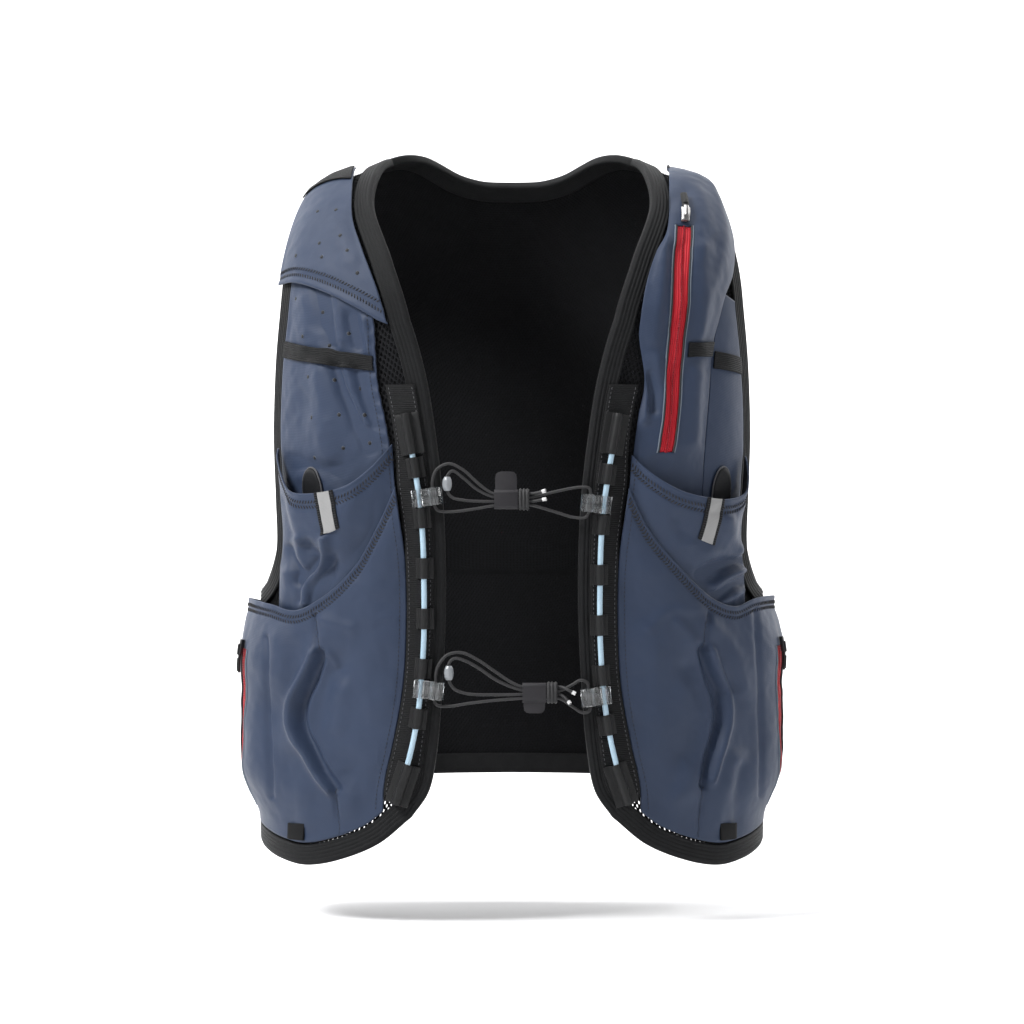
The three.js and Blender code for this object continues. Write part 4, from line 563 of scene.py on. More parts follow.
frontEdge = lineThrough([
    (27.5, 0), (30.8, 0.06), (31.8, 0.12), (26, 0.191), (21.5, 0.242), (17.4, 0.322), (14.8, 0.416),
    (13.2, 0.51), (12.6, 0.63), (13, 0.72), (14.5, 0.84), (16.4, 0.895), (20.3, 0.929),
])
frontHem = lineThrough([
    (20.3, 0.929), (28.5, 0.966), (39.2, 0.989), (51.4, 1), (63.9, 0.994), (74.3, 0.985), (90, 0.973),
])
backHem = lineThrough([
    (90, 0.973), (103, 0.95), (120, 0.922), (140, 0.903), (160, 0.895), (180, 0.893),
])
frontArmhole = lineThrough([
    (51.7, 0), (56.2, 0.057), (60.6, 0.107), (65, 0.172), (66.8, 0.23), (69.3, 0.298), (70.5, 0.376),
    (70.3, 0.414), (68, 0.492), (66.5, 0.56), (70, 0.597), (79, 0.617), (90, 0.622),
])
backArmhole = lineThrough([
    (90, 0.622), (99, 0.612), (106, 0.58), (110, 0.52), (112, 0.42), (113.5, 0.3), (117, 0.2),
    (122, 0.1), (128.3, 0),
])
backNeck = lineThrough([
    (152.5, 0), (157, 0.014), (161.2, 0.036), (165.8, 0.064), (169.6, 0.082), (174.5, 0.093), (180, 0.096),
])
tapeLine = lineThrough([
    (26.4, 0.333), (25, 0.37), (23.9, 0.41), (23.3, 0.471), (21.3, 0.555), (20.6, 0.66), (21.3, 0.75),
    (24, 0.835), (26, 0.883), (26.6, 0.94),
])
railLine = lineThrough([
    (20.4, 0.395), (18.3, 0.464), (17, 0.53), (16.5, 0.6), (16.5, 0.7), (18, 0.8), (20.6, 0.868),
    (22, 0.893),
])

# heights above the body of each layer, in millimetres
layer = {
    "meshTop": 2.0, "bindingTop": 3.7, "cloth": 1.2, "clothBase": 3.2, "secondBase": 5.6,
    "mouthBase": 7.4, "tapeBase": 4.1, "tapeTop": 5.3, "rail": 8.85, "binding": 12.0, "seam": 0.4,
}
armholeInset = layer["binding"] + layer["seam"]
armholeInner = insetLine(frontArmhole, -armholeInset - layer["seam"])
pocketInner = insetLine(tapeLine, layer["seam"])
print("chart of the body made")


# mesh makers
def finished(name, verts, faces, materials, uvs=None):
    mesh = bpy.data.meshes.new(name)
    mesh.from_pydata([tuple(v) for v in np.asarray(verts) * mm], [], faces)
    for item in materials:
        mesh.materials.append(item)
    if uvs is not None:
        layerUv = mesh.uv_layers.new(name="cloth")
        corners = np.array([i for face in faces for i in face])
        layerUv.data.foreach_set("uv", (np.asarray(uvs)[corners] * mm).ravel())
    mesh.polygons.foreach_set("use_smooth", [True] * len(mesh.polygons))
    mesh.update()
    made = bpy.data.objects.new(name, mesh)
    bpy.context.scene.collection.objects.link(made)
    return made


def settle(piece, slot, *nodes):
    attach(piece, "root")
    if nodes:
        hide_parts(*nodes)
    return piece


def gridFaces(rows, columns, isOpen=None, flip=False):
    faces = []
    for row in range(rows - 1):
        for column in range(columns - 1):
            if isOpen is None or not isOpen(row, column):
                a = row * columns + column
                face = (a, a + columns, a + columns + 1, a + 1)
                faces.append(face[::-1] if flip else face)
    return faces


def gridNormals(points):
    return unit(np.cross(np.gradient(points, axis=0), np.gradient(points, axis=1)))


def creaseHeight(points, creases):
    spot = points[..., [0, 2]]
    total = np.zeros(points.shape[:-1])
    for corners, width, height in creases:
        path = smoothPoints(corners, 5) if len(corners) > 2 else corners
        nearest = np.full(total.shape, 1e9)
        for start, end in zip(path, path[1:]):
            start, run = np.array(start), np.array(end) - np.array(start)
            held = np.clip(((spot - start) @ run) / (run @ run), 0, 1)
            nearest = np.minimum(nearest, np.linalg.norm(spot - start - held[..., None] * run, axis=-1))
        total += cloth["creaseGain"] * height * np.exp(-((nearest / width) ** 2))
    return total


def rumple(points, size, seed):
    flat = points.reshape(-1, 3) / size
    values = [noise.fractal(Vector((x + seed, y, z)), 0.8, 2.0, 3) for x, y, z in flat]
    return np.array(values).reshape(points.shape[:-1])


cloth = {
    "creaseGain": 1.25, "rumpleSize": 22.0, "rollRise": 0.55, "rollAt": 1.2, "rollSpread": 1.3,
    "hemSink": 0.45, "hemSpread": 1.9, "lowGap": 0.3,
}


def clothSheet(name, plan, slot, nodes):
    u = plan["across"] if "across" in plan else np.linspace(0, 1, plan["columns"])
    v = plan["down"] if "down" in plan else np.linspace(0, 1, plan["rows"])
    uu, vv = np.meshgrid(u, v)
    bentU = plan["bent"](uu, vv) if "bent" in plan else uu
    places = plan["place"](bentU, vv)
    side = np.array([plan["side"], 1, 1])
    height = plan["height"](bentU, vv)
    points = bodyPoint(places, height) * side
    extra = creaseHeight(points, plan.get("creases", ()))
    extra = extra + plan.get("rumple", 0) * rumple(points, cloth["rumpleSize"], plan.get("seed", 3.0))
    pinned = plan["pinned"](uu, vv) if "pinned" in plan else 1.0
    run = np.linalg.norm(np.diff(points, axis=0), axis=-1)
    fromTop = np.vstack([np.zeros((1, len(u))), np.cumsum(run, axis=0)])
    if plan.get("hem"):
        roll = cloth["rollRise"] * np.exp(-(((fromTop - cloth["rollAt"]) / cloth["rollSpread"]) ** 2))
        roll = roll - cloth["hemSink"] * np.exp(-(((fromTop - plan["hem"]) / cloth["hemSpread"]) ** 2))
    else:
        roll = 0
    low = plan.get("low", layer["clothBase"] - cloth["lowGap"])
    height = np.maximum(height + (extra + roll) * pinned, low) + layer["cloth"]
    points = bodyPoint(places, height) * side
    sideways = np.linalg.norm(np.diff(points, axis=1), axis=-1)
    fromInner = np.hstack([np.zeros((len(v), 1)), np.cumsum(sideways, axis=1)])
    uvs = np.stack([fromInner, fromTop], -1).reshape(-1, 2)
    faces = gridFaces(len(v), len(u), plan.get("isOpen"), flip=plan["side"] < 0)
    piece = finished(name, points.reshape(-1, 3), faces, plan["materials"], uvs)
    wall = piece.modifiers.new("thickness", "SOLIDIFY")
    wall.thickness = plan.get("thickness", layer["cloth"]) * mm
    wall.offset = -1
    wall.use_even_offset = False
    wall.material_offset = len(plan["materials"]) - 1
    wall.material_offset_rim = 0
    settle(piece, slot, *nodes)
    diagonals = points[1:, 1:] - points[:-1, :-1], points[1:, :-1] - points[:-1, 1:]
    cells = np.linalg.norm(np.cross(*diagonals), axis=-1) / 2
    kept = cells if "isOpen" not in plan else np.where(
        [[plan["isOpen"](r, c) for c in range(len(u) - 1)] for r in range(len(v) - 1)], 0, cells)
    plan.get("held", "stretched")
    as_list(plan.get("on", ()))
    normals = gridNormals(points) * (1 if plan["side"] > 0 else -1)
    return {"piece": piece, "points": points, "normals": normals, "u": u, "v": v, "fromTop": fromTop}


def onCloth(sheet, x, z, lift):  # the point of a cloth that is seen from the front at x and z
    off = np.hypot(sheet["points"][..., 0] - x, sheet["points"][..., 2] - z)
    spot = np.unravel_index(np.argmin(off), off.shape)
    return sheet["points"][spot] + sheet["normals"][spot] * lift, sheet["normals"][spot]


def clothRow(sheet, u, v, lift):  # points and outward directions at shares of a cloth
    column = np.interp(u, sheet["u"], np.arange(len(sheet["u"])))
    row = np.interp(v, sheet["v"], np.arange(len(sheet["v"])))
    c = np.minimum(column.astype(int), len(sheet["u"]) - 2)
    r = np.minimum(row.astype(int), len(sheet["v"]) - 2)
    a, b = (column - c)[:, None], (row - r)[:, None]

    def read(grid):
        top = grid[r, c] * (1 - a) + grid[r, c + 1] * a
        return top * (1 - b) + (grid[r + 1, c] * (1 - a) + grid[r + 1, c + 1] * a) * b

    normals = unit(read(sheet["normals"]))
    return read(sheet["points"]) + normals * lift, normals


# a row of points that keeps its way down from the mouth
def rowAtDepth(sheet, depth, start, end, count, lift=0.15):
    u = np.linspace(start, end, count)
    columns = np.interp(u, sheet["u"], np.arange(len(sheet["u"])))
    v = [np.interp(depth, sheet["fromTop"][:, int(round(c))], sheet["v"]) for c in columns]
    return clothRow(sheet, u, np.array(v), lift)


# geometry nodes: things set along a path or at points
def startTree(name, sizes, finishes):
    tree = bpy.data.node_groups.new(name, "GeometryNodeTree")
    sockets = [("Geometry", "Geometry")]
    sockets += [(label, "Float") for label in sizes] + [(label, "Material") for label in finishes]
    for label, kind in sockets:
        tree.interface.new_socket(label, in_out="INPUT", socket_type="NodeSocket" + kind)
    tree.interface.new_socket("Geometry", in_out="OUTPUT", socket_type="NodeSocketGeometry")
    return tree, tree.nodes.new("NodeGroupInput"), tree.nodes.new("NodeGroupOutput")


def pathTree(name):
    tree, given, result = startTree(name, ("Spacing", "Length", "Width", "Depth", "Lean"), ("Finish",))
    curve = addNode(tree, "GeometryNodeMeshToCurve", inputs={"Mesh": given.outputs["Geometry"]})
    spaced = addNode(
        tree, "GeometryNodeResampleCurve", {"mode": "LENGTH"},
        {"Curve": curve.outputs[0], "Length": given.outputs["Spacing"]},
    )
    tangent = tree.nodes.new("GeometryNodeInputTangent")
    facing = addNode(
        tree, "GeometryNodeInputNamedAttribute", {"data_type": "FLOAT_VECTOR"}, {"Name": "facing"},
    )
    along = addNode(
        tree, "FunctionNodeAlignRotationToVector", {"axis": "X"}, {"Vector": tangent.outputs[0]},
    )
    upright = addNode(
        tree, "FunctionNodeAlignRotationToVector", {"axis": "Z", "pivot_axis": "X"},
        {"Rotation": along.outputs[0], "Vector": facing.outputs[0]},
    )
    lean = addNode(tree, "ShaderNodeCombineXYZ", inputs={"Z": given.outputs["Lean"]})
    turned = addNode(
        tree, "FunctionNodeRotateRotation", {"rotation_space": "LOCAL"},
        {"Rotation": upright.outputs[0]},
    )
    tree.links.new(lean.outputs[0], turned.inputs["Rotate By"])
    size = addNode(
        tree, "ShaderNodeCombineXYZ",
        inputs={"X": given.outputs["Length"], "Y": given.outputs["Width"], "Z": given.outputs["Depth"]},
    )
    bar = addNode(tree, "GeometryNodeMeshUVSphere", inputs={"Segments": 6, "Rings": 4, "Radius": 0.5})
    placed = addNode(
        tree, "GeometryNodeInstanceOnPoints",
        inputs={
            "Points": spaced.outputs[0], "Instance": bar.outputs["Mesh"],
            "Rotation": turned.outputs[0], "Scale": size.outputs[0],
        },
    )
    real = addNode(tree, "GeometryNodeRealizeInstances", inputs={"Geometry": placed.outputs[0]})
    done = addNode(
        tree, "GeometryNodeSetMaterial",
        inputs={"Geometry": real.outputs[0], "Material": given.outputs["Finish"]},
    )
    tree.links.new(done.outputs[0], result.inputs[0])
    return tree


def holeTree(name):
    tree, given, result = startTree(name, ("Radius", "Rim"), ("Dark", "Pale"))
    dots = addNode(tree, "GeometryNodeMeshToPoints", inputs={"Mesh": given.outputs["Geometry"]})
    facing = addNode(
        tree, "GeometryNodeInputNamedAttribute", {"data_type": "FLOAT_VECTOR"}, {"Name": "facing"},
    )
    upright = addNode(tree, "FunctionNodeAlignRotationToVector", {"axis": "Z"}, {"Vector": facing.outputs[0]})
    bottom = addNode(
        tree, "GeometryNodeMeshCylinder",
        inputs={"Vertices": 16, "Radius": given.outputs["Radius"], "Depth": 0.0003},
    )
    dark = addNode(
        tree, "GeometryNodeSetMaterial",
        inputs={"Geometry": bottom.outputs["Mesh"], "Material": given.outputs["Dark"]},
    )
    ring = addNode(
        tree, "GeometryNodeCurvePrimitiveCircle",
        inputs={"Resolution": 16, "Radius": given.outputs["Radius"]},
    )
    wire = addNode(
        tree, "GeometryNodeCurvePrimitiveCircle", inputs={"Resolution": 5, "Radius": given.outputs["Rim"]},
    )
    rim = addNode(
        tree, "GeometryNodeCurveToMesh",
        inputs={"Curve": ring.outputs["Curve"], "Profile Curve": wire.outputs["Curve"]},
    )
    pale = addNode(
        tree, "GeometryNodeSetMaterial",
        inputs={"Geometry": rim.outputs[0], "Material": given.outputs["Pale"]},
    )
    joined = tree.nodes.new("GeometryNodeJoinGeometry")
    tree.links.new(dark.outputs[0], joined.inputs[0])
    tree.links.new(pale.outputs[0], joined.inputs[0])
    placed = addNode(
        tree, "GeometryNodeInstanceOnPoints",
        inputs={"Points": dots.outputs[0], "Instance": joined.outputs[0], "Rotation": upright.outputs[0]},
    )
    real = addNode(tree, "GeometryNodeRealizeInstances", inputs={"Geometry": placed.outputs[0]})
    tree.links.new(real.outputs[0], result.inputs[0])
    return tree


rowTree = pathTree("things along a path")
perforationTree = holeTree("perforations")


def grown(name, base, tree, values, slot):
    modifier = base.modifiers.new("nodes", "NODES")
    modifier.node_group = tree
    for item in tree.interface.items_tree:
        if item.in_out == "INPUT" and item.name in values:
            modifier[item.identifier] = values[item.name]
    bpy.context.view_layer.update()
    graph = bpy.context.evaluated_depsgraph_get()
    mesh = bpy.data.meshes.new_from_object(base.evaluated_get(graph))
    mesh.polygons.foreach_set("use_smooth", [True] * len(mesh.polygons))
    piece = bpy.data.objects.new(name, mesh)
    bpy.context.scene.collection.objects.link(piece)
    bpy.data.objects.remove(base)
    return settle(piece, slot)


def baseOf(name, paths):
    verts, edges, facings = [], [], []
    for points, normals in paths:
        start = len(verts)
        verts.extend(tuple(p * mm) for p in points)
        facings.extend(tuple(n) for n in normals)
        edges.extend((start + i, start + i + 1) for i in range(len(points) - 1))
    mesh = bpy.data.meshes.new(name)
    mesh.from_pydata(verts, edges, [])
    facing = mesh.attributes.new("facing", "FLOAT_VECTOR", "POINT")
    facing.data.foreach_set("vector", np.array(facings).ravel())
    base = bpy.data.objects.new(name, mesh)
    bpy.context.scene.collection.objects.link(base)
    return base


def alongPaths(name, paths, material, slot, spacing=2.6, length=1.9, width=0.5, depth=0.35, lean=0.0):
    values = {
        "Spacing": spacing * mm, "Length": length * mm, "Width": width * mm, "Depth": depth * mm,
        "Lean": math.radians(lean), "Finish": material,
    }
    return grown(name, baseOf(name + ".path", paths), rowTree, values, slot)


def perforations(name, sheet, spots):
    made = [onCloth(sheet, x, z, 0.02) for x, z in spots]
    base = baseOf(name + ".spots", [(np.array([p]), np.array([n])) for p, n in made])
    values = {"Radius": hole["radius"] * mm, "Rim": hole["rim"] * mm, "Dark": blackThread, "Pale": paleThread}
    return grown(name, base, perforationTree, values, "navy_cloth")


slanted = {"spacing": 2.3, "length": 2.9, "width": 0.95, "depth": 0.8}
hole = {"radius": 1.25, "rim": 0.13}


def ladder(name, rows):  # double row of slanted stitches
    for index, (paths, lean) in enumerate(rows):
        alongPaths(f"{name}_{index + 1}", paths, blackThread, "cord_elastic", lean=lean, **slanted)


seamLine = straightLine((90, 0.622), (90, 0.973))
frontPlace = sheetBetween(
    inner=frontEdge,
    outer=joinedLine([
        (partOfLine(frontArmhole, 0, 0.75), 9), (partOfLine(frontArmhole, 0.75, 1), 6), (seamLine, 5),
    ], coarse=True),
    top=straightLine((27.5, 0), (51.7, 0)),
    bottom=frontHem,
)
backRidge = straightLine((128.3, 0), (152.5, 0))


def overBack(line):
    return lambda t: line(1 - np.asarray(t)) * np.array([-1, 1]) + np.array([360, 0])


backInner = joinedLine([(partOfLine(backArmhole, 1, 0), 10), (seamLine, 5)], coarse=True)
backPlace = sheetBetween(
    inner=backInner,
    outer=lambda t: backInner(t) * np.array([-1, 1]) + np.array([360, 0]),
    top=joinedLine([(backRidge, 2), (backNeck, 4), (overBack(backNeck), 4), (overBack(backRidge), 2)]),
    bottom=joinedLine([(backHem, 6), (overBack(backHem), 6)]),
)
panelFlat = {"low": 0, "thickness": 1.8, "held": "stretched", "materials": [openMesh]}
for side, label in ((1, "left"), (-1, "right")):
    clothSheet("panel_" + label, {
        **panelFlat, "place": frontPlace, "side": side, "columns": 60, "rows": 150,
        "height": lambda u, v: 0.7 + 0 * u,
    }, "black_mesh", ["front_panel_" + label])
clothSheet("panel_back", {
    **panelFlat, "place": backPlace, "side": 1, "columns": 150, "rows": 130, "materials": [backMesh],
    "height": lambda u, v: 0.7 + 0 * u,
}, "black_mesh", ["back_panel"])
print("mesh panels made")


# bindings: folded ribbed tape swept round the edges
binding = {"ribs": 5, "ribHeight": 0.55, "top": 3.7, "low": -1.7, "width": 12.0, "stitchStep": 10.6}


def bindingProfile():
    steps = np.linspace(binding["width"], 0, 34)
    ribs = binding["ribHeight"] * np.abs(np.sin(steps / binding["width"] * math.pi * binding["ribs"])) ** 0.55
    edge = np.clip((binding["width"] - steps) / 0.6, 0, 1) ** 0.5
    outer = [(s, binding["top"] - 0.75 + 0.75 * e + r - 0.1) for s, r, e in zip(steps, ribs, edge)]
    bend = [(-1.0, 3.45), (-1.35, 2.6), (-1.45, 1.2), (-1.35, -0.4), (-1.0, -1.35)]
    inner = [(s, binding["low"]) for s in np.linspace(0, binding["width"], 10)]
    back = [(binding["width"], -0.75), (1.0, -0.7), (0.2, 0.2), (0.2, 1.8), (1.0, 2.7), (11.9, 2.75)]
    return np.array([*outer, *bend, *inner, *back])


def sweptBinding(name, places, nodes, side=1):
    flat = bodyPoint(places)
    along = unit(np.roll(flat, -1, 0) - np.roll(flat, 1, 0))
    here = overShoulder(places)
    inward = unit(np.cross(bodyFrame(here)[2], along))
    mirror = np.array([side, 1, 1])
    profile = bindingProfile()
    rings = [bodyPoint(movedPlace(here, inward * step), height) * mirror for step, height in profile]
    points = np.stack(rings, 1)
    rows, columns = points.shape[:2]
    faces = []
    for row in range(rows):
        after = (row + 1) % rows
        for column in range(columns):
            beside = (column + 1) % columns
            face = (row * columns + column, row * columns + beside)
            face += (after * columns + beside, after * columns + column)
            faces.append(face if side > 0 else face[::-1])
    lengths = np.concatenate([[0], np.cumsum(np.linalg.norm(np.diff(flat, axis=0), axis=1))])
    across = np.concatenate([[0], np.cumsum(np.linalg.norm(np.diff(profile, axis=0), axis=1))])
    uvs = np.stack(np.broadcast_arrays(lengths[:, None], across[None, :]), -1).reshape(-1, 2)
    piece = finished(name, points.reshape(-1, 3), faces, [bindingTape], uvs)
    settle(piece, "black_tape", *nodes)
    inset = bodyPoint(movedPlace(here, inward * binding["stitchStep"]), binding["top"] + 0.2) * mirror
    facing = bodyFrame(here)[2] * mirror
    loop = (np.vstack([inset, inset[:1]]), np.vstack([facing, facing[:1]]))
    alongPaths(name + "_stitches", [loop], blackThread, "cord_elastic",
               spacing=3.0, length=2.0, width=0.55, depth=0.5)


halfEdge = np.vstack([
    backNeck(np.linspace(1, 0, 60))[:-1], frontEdge(np.linspace(0, 1, 190))[:-1],
    frontHem(np.linspace(0, 1, 60))[:-1], backHem(np.linspace(0, 1, 60)),
])
otherEdge = halfEdge[1:-1][::-1] * np.array([-1, 1])
sweptBinding("binding_edge", np.vstack([halfEdge, otherEdge]), ["edge_binding"])
armEdge = np.vstack([backArmhole(np.linspace(1, 0, 130))[:-1], frontArmhole(np.linspace(1, 0, 150))[:-1]])
for side, label in ((1, "left"), (-1, "right")):
    sweptBinding("binding_arm_" + label, armEdge, ["armhole_binding_" + label], side)
print("bindings made")


# tape down each front, with the rail, its loops and its end patches
tapeEdge = insetLine(frontEdge, 6.0, 40)
tapeOuter = partOfLine(tapeLine, 0, 0.94)
tapeEnds = [shareAt(tapeEdge, 1, tapeOuter(share)[1]) for share in (0.0, 1.0)]
tapeInner = partOfLine(tapeEdge, *tapeEnds)
tapePlace = sheetBetween(
    inner=tapeInner, outer=tapeOuter,
    top=straightLine(tapeInner(0.0), tapeOuter(0.0)), bottom=straightLine(tapeInner(1.0), tapeOuter(1.0)),
)
rail = {
    "thick": 3.5, "loopLength": 13.0, "loopWidth": 11.0, "first": 0.115, "span": 0.6885, "count": 6,
    "shift": 0.009, "patchWidth": 15.0, "domeHalf": 3.1, "domeHeight": 4.8, "bandLift": 1.4, "bandWall": 0.95,
}


def railStation(share):
    place = railLine(np.array([share]))
    sideways = sidewaysAt(railLine, np.array([share]))
    normal = bodyFrame(place)[2]
    return place, sideways[0], unit(np.cross(sideways, normal))[0]


def overRail(name, share, length, width, side, nodes):
    place, sideways, along = railStation(share)
    half = rail["domeHalf"]
    steps = np.concatenate([
        np.linspace(-width / 2, -half - 0.1, 5), np.linspace(-3.0, 3.0, 17),
        np.linspace(half + 0.1, width / 2, 5),
    ])
    dome = np.sqrt(np.maximum(1 - (steps / half) ** 2, 0))
    rises = layer["tapeTop"] + rail["bandLift"] + rail["domeHeight"] * dome ** 0.8
    grid = []
    ends = np.linspace(-length / 2, length / 2, 9)
    for end in ends:
        moved = movedPlace(place, (along * end)[None])
        grid.append([
            bodyPoint(movedPlace(moved, (sideways * step)[None]), rise)[0] for step, rise in zip(steps, rises)
        ])
    points = np.array(grid) * np.array([side, 1, 1])
    uu, vv = np.meshgrid(steps, ends)
    piece = finished(name, points.reshape(-1, 3), gridFaces(9, len(steps), flip=side < 0), [rubber],
                     np.stack([uu, vv], -1).reshape(-1, 2))
    facing = gridNormals(points)[4, len(steps) // 2] * (1 if side > 0 else -1)
    if facing[1] > 0:
        piece.data.flip_normals()
    wall = piece.modifiers.new("thickness", "SOLIDIFY")
    wall.thickness, wall.offset = rail["bandWall"] * mm, -1
    worn = piece.modifiers.new("soft edges", "BEVEL")
    worn.width, worn.segments, worn.limit_method = 0.25 * mm, 2, "ANGLE"
    settle(piece, "black_tape", *nodes)


def tube(name, points, radius, material, sides=12, slot="rail_plastic", nodes=()):
    data = bpy.data.curves.new(name, "CURVE")
    data.dimensions = "3D"
    data.bevel_depth = radius * mm
    data.bevel_resolution = sides // 4
    data.use_fill_caps = True
    spline = data.splines.new("POLY")
    spline.points.add(len(points) - 1)
    spline.points.foreach_set("co", np.hstack([np.array(points) * mm, np.ones((len(points), 1))]).ravel())
    data.materials.append(material)
    piece = bpy.data.objects.new(name, data)
    bpy.context.scene.collection.objects.link(piece)
    settle(piece, slot, *nodes)
    return piece


for side, label in ((1, "left"), (-1, "right")):
    mirror = np.array([side, 1, 1])
    tapeSheet = clothSheet("rail_tape_cloth_" + label, {
        "place": tapePlace, "side": side, "columns": 14, "rows": 170, "thickness": 1.0, "low": 0,
        "height": lambda u, v: layer["tapeBase"] + 0 * u, "materials": [elasticTape], "rumple": 0.12,
    }, "black_tape", ["rail_tape_" + label])
    stitchV = np.linspace(0.01, 0.99, 200)
    alongPaths("rail_tape_stitches_" + label, [clothRow(tapeSheet, 0.1 + 0 * stitchV, stitchV, 0.15),
               clothRow(tapeSheet, 0.9 + 0 * stitchV, stitchV, 0.15)], greyThread, "cord_elastic",
               spacing=2.9, length=1.9, width=0.45)
    railPath = smoothPoints(bodyPoint(railLine(np.linspace(0, 1, 15)), layer["rail"]), 8) * mirror
    tube("rail_rod_" + label, railPath, rail["thick"] / 2, railPlastic, 20, nodes=["rail_" + label])
    for index in range(rail["count"]):
        share = rail["first"] + rail["span"] * index / (rail["count"] - 1) + side * rail["shift"]
        overRail(f"rail_band_{label}_{index + 1}", share, rail["loopLength"], rail["loopWidth"], side,
                 [f"rail_loop_{label}_{index + 1}"])
    for end, share, length in (("upper", 0.012, 26.0), ("lower", 0.982, 27.0)):
        overRail(f"rail_patch_{label}_{end}", share, length, rail["patchWidth"], side, ())
print("tapes and rails made")


# sternum cords: their routes as in the CAD model, in metres
upperRoute = [
    (0.021, -0.1302, -0.2196), (0.016, -0.128, -0.2209), (0.0116, -0.1253, -0.2215),
    (0.004, -0.1253, -0.2215), (-0.0037, -0.1253, -0.2215), (-0.0114, -0.1253, -0.2215),
    (-0.016, -0.1253, -0.2192), (-0.022, -0.1253, -0.2144), (-0.031, -0.1253, -0.2064),
    (-0.04, -0.1254, -0.2026), (-0.0475, -0.1254, -0.2064), (-0.0502, -0.1254, -0.2138),
    (-0.0501, -0.1254, -0.2178), (-0.0488, -0.1253, -0.2287), (-0.0466, -0.1253, -0.232),
    (-0.04, -0.1253, -0.2329), (-0.022, -0.1253, -0.2308), (-0.0113, -0.1253, -0.229),
    (-0.0037, -0.1253, -0.2287), (0.004, -0.1253, -0.2287), (0.012, -0.1253, -0.2288),
    (0.026, -0.1253, -0.2326), (0.039, -0.1252, -0.2364), (0.046, -0.1252, -0.2364),
    (0.04835, -0.1252, -0.23295), (0.0496, -0.12535, -0.22205), (0.0484, -0.1254, -0.218),
    (0.043, -0.1253, -0.2174), (0.028, -0.1253, -0.22), (0.012, -0.1253, -0.2238),
    (0.004, -0.1253, -0.2239), (-0.0037, -0.1253, -0.2239), (-0.0113, -0.1253, -0.2236),
    (-0.022, -0.1253, -0.2188), (-0.031, -0.1253, -0.2114), (-0.0376, -0.1253, -0.2072),
    (-0.0408, -0.1253, -0.2106), (-0.0408, -0.1253, -0.2153), (-0.0407, -0.1253, -0.22),
    (-0.0374, -0.1253, -0.224), (-0.03, -0.1253, -0.2256), (-0.02, -0.1253, -0.2263),
    (-0.0113, -0.1253, -0.2264), (-0.0037, -0.1253, -0.2263), (0.004, -0.1253, -0.2263),
    (0.0116, -0.1253, -0.2263), (0.016, -0.1278, -0.2258), (0.0214, -0.1298, -0.2248),
]
lowerRoute = [
    (0.04, -0.1244, -0.3474), (0.035, -0.1234, -0.3448), (0.032, -0.1212, -0.3435),
    (0.0292, -0.1193, -0.3432), (0.022, -0.1193, -0.3432), (0.0141, -0.1193, -0.3432),
    (0.0066, -0.1193, -0.3432), (0, -0.1193, -0.3406), (-0.009, -0.1193, -0.3348),
    (-0.022, -0.1194, -0.326), (-0.032, -0.1195, -0.3216), (-0.041, -0.1196, -0.3232),
    (-0.0468, -0.1197, -0.3304), (-0.0481, -0.1197, -0.3364), (-0.048, -0.1197, -0.3403),
    (-0.0491, -0.1191, -0.35125), (-0.047, -0.1191, -0.3549), (-0.04, -0.1191, -0.3554),
    (-0.026, -0.1192, -0.3534), (-0.01, -0.1193, -0.3516), (0.006, -0.1193, -0.3505),
    (0.0141, -0.1193, -0.3504), (0.022, -0.1193, -0.3504), (0.03, -0.1193, -0.3505),
    (0.038, -0.1192, -0.3556), (0.0444, -0.1189, -0.3594), (0.0484, -0.11885, -0.3588),
    (0.0495, -0.11885, -0.35545), (0.0484, -0.1195, -0.34455), (0.0474, -0.1195, -0.3406),
    (0.0434, -0.1194, -0.339), (0.037, -0.1193, -0.3424), (0.03, -0.1193, -0.3456),
    (0.022, -0.1193, -0.3456), (0.0141, -0.1193, -0.3456), (0.006, -0.1193, -0.3452),
    (-0.009, -0.1193, -0.3394), (-0.021, -0.1194, -0.3314), (-0.03, -0.1194, -0.3266),
    (-0.0364, -0.1194, -0.3252), (-0.0398, -0.1194, -0.3286), (-0.0398, -0.1194, -0.3344),
    (-0.0397, -0.1194, -0.3394), (-0.0366, -0.1194, -0.3444), (-0.029, -0.1193, -0.3474),
    (-0.012, -0.1193, -0.3482), (0.006, -0.1193, -0.348), (0.0141, -0.1193, -0.348),
    (0.022, -0.1193, -0.348), (0.0298, -0.1193, -0.348), (0.0336, -0.122, -0.35),
    (0.0366, -0.124, -0.3536),
]

cordThick = 0.002


def sternumCord(name, route, level):
    path = smoothPoints(route, 10)
    cord = tube(name, path / mm, cordThick / 2 / mm, cordBraid, 12, "cord_elastic", ["sternum_cord_" + level])
    for index, end in enumerate((path[:5], path[-5:][::-1])):
        tube(f"{name}_tip_{index + 1}", end / mm, 1.25, tipPlastic, 12, "clear_plastic")


sternumCord("sternum_line_upper", upperRoute, "upper")
sternumCord("sternum_line_lower", lowerRoute, "lower")
print("cords made")


# navy cloth of the wearer's right chest
navy = {"materials": [navyCloth, liningCloth], "rumple": 0.75}


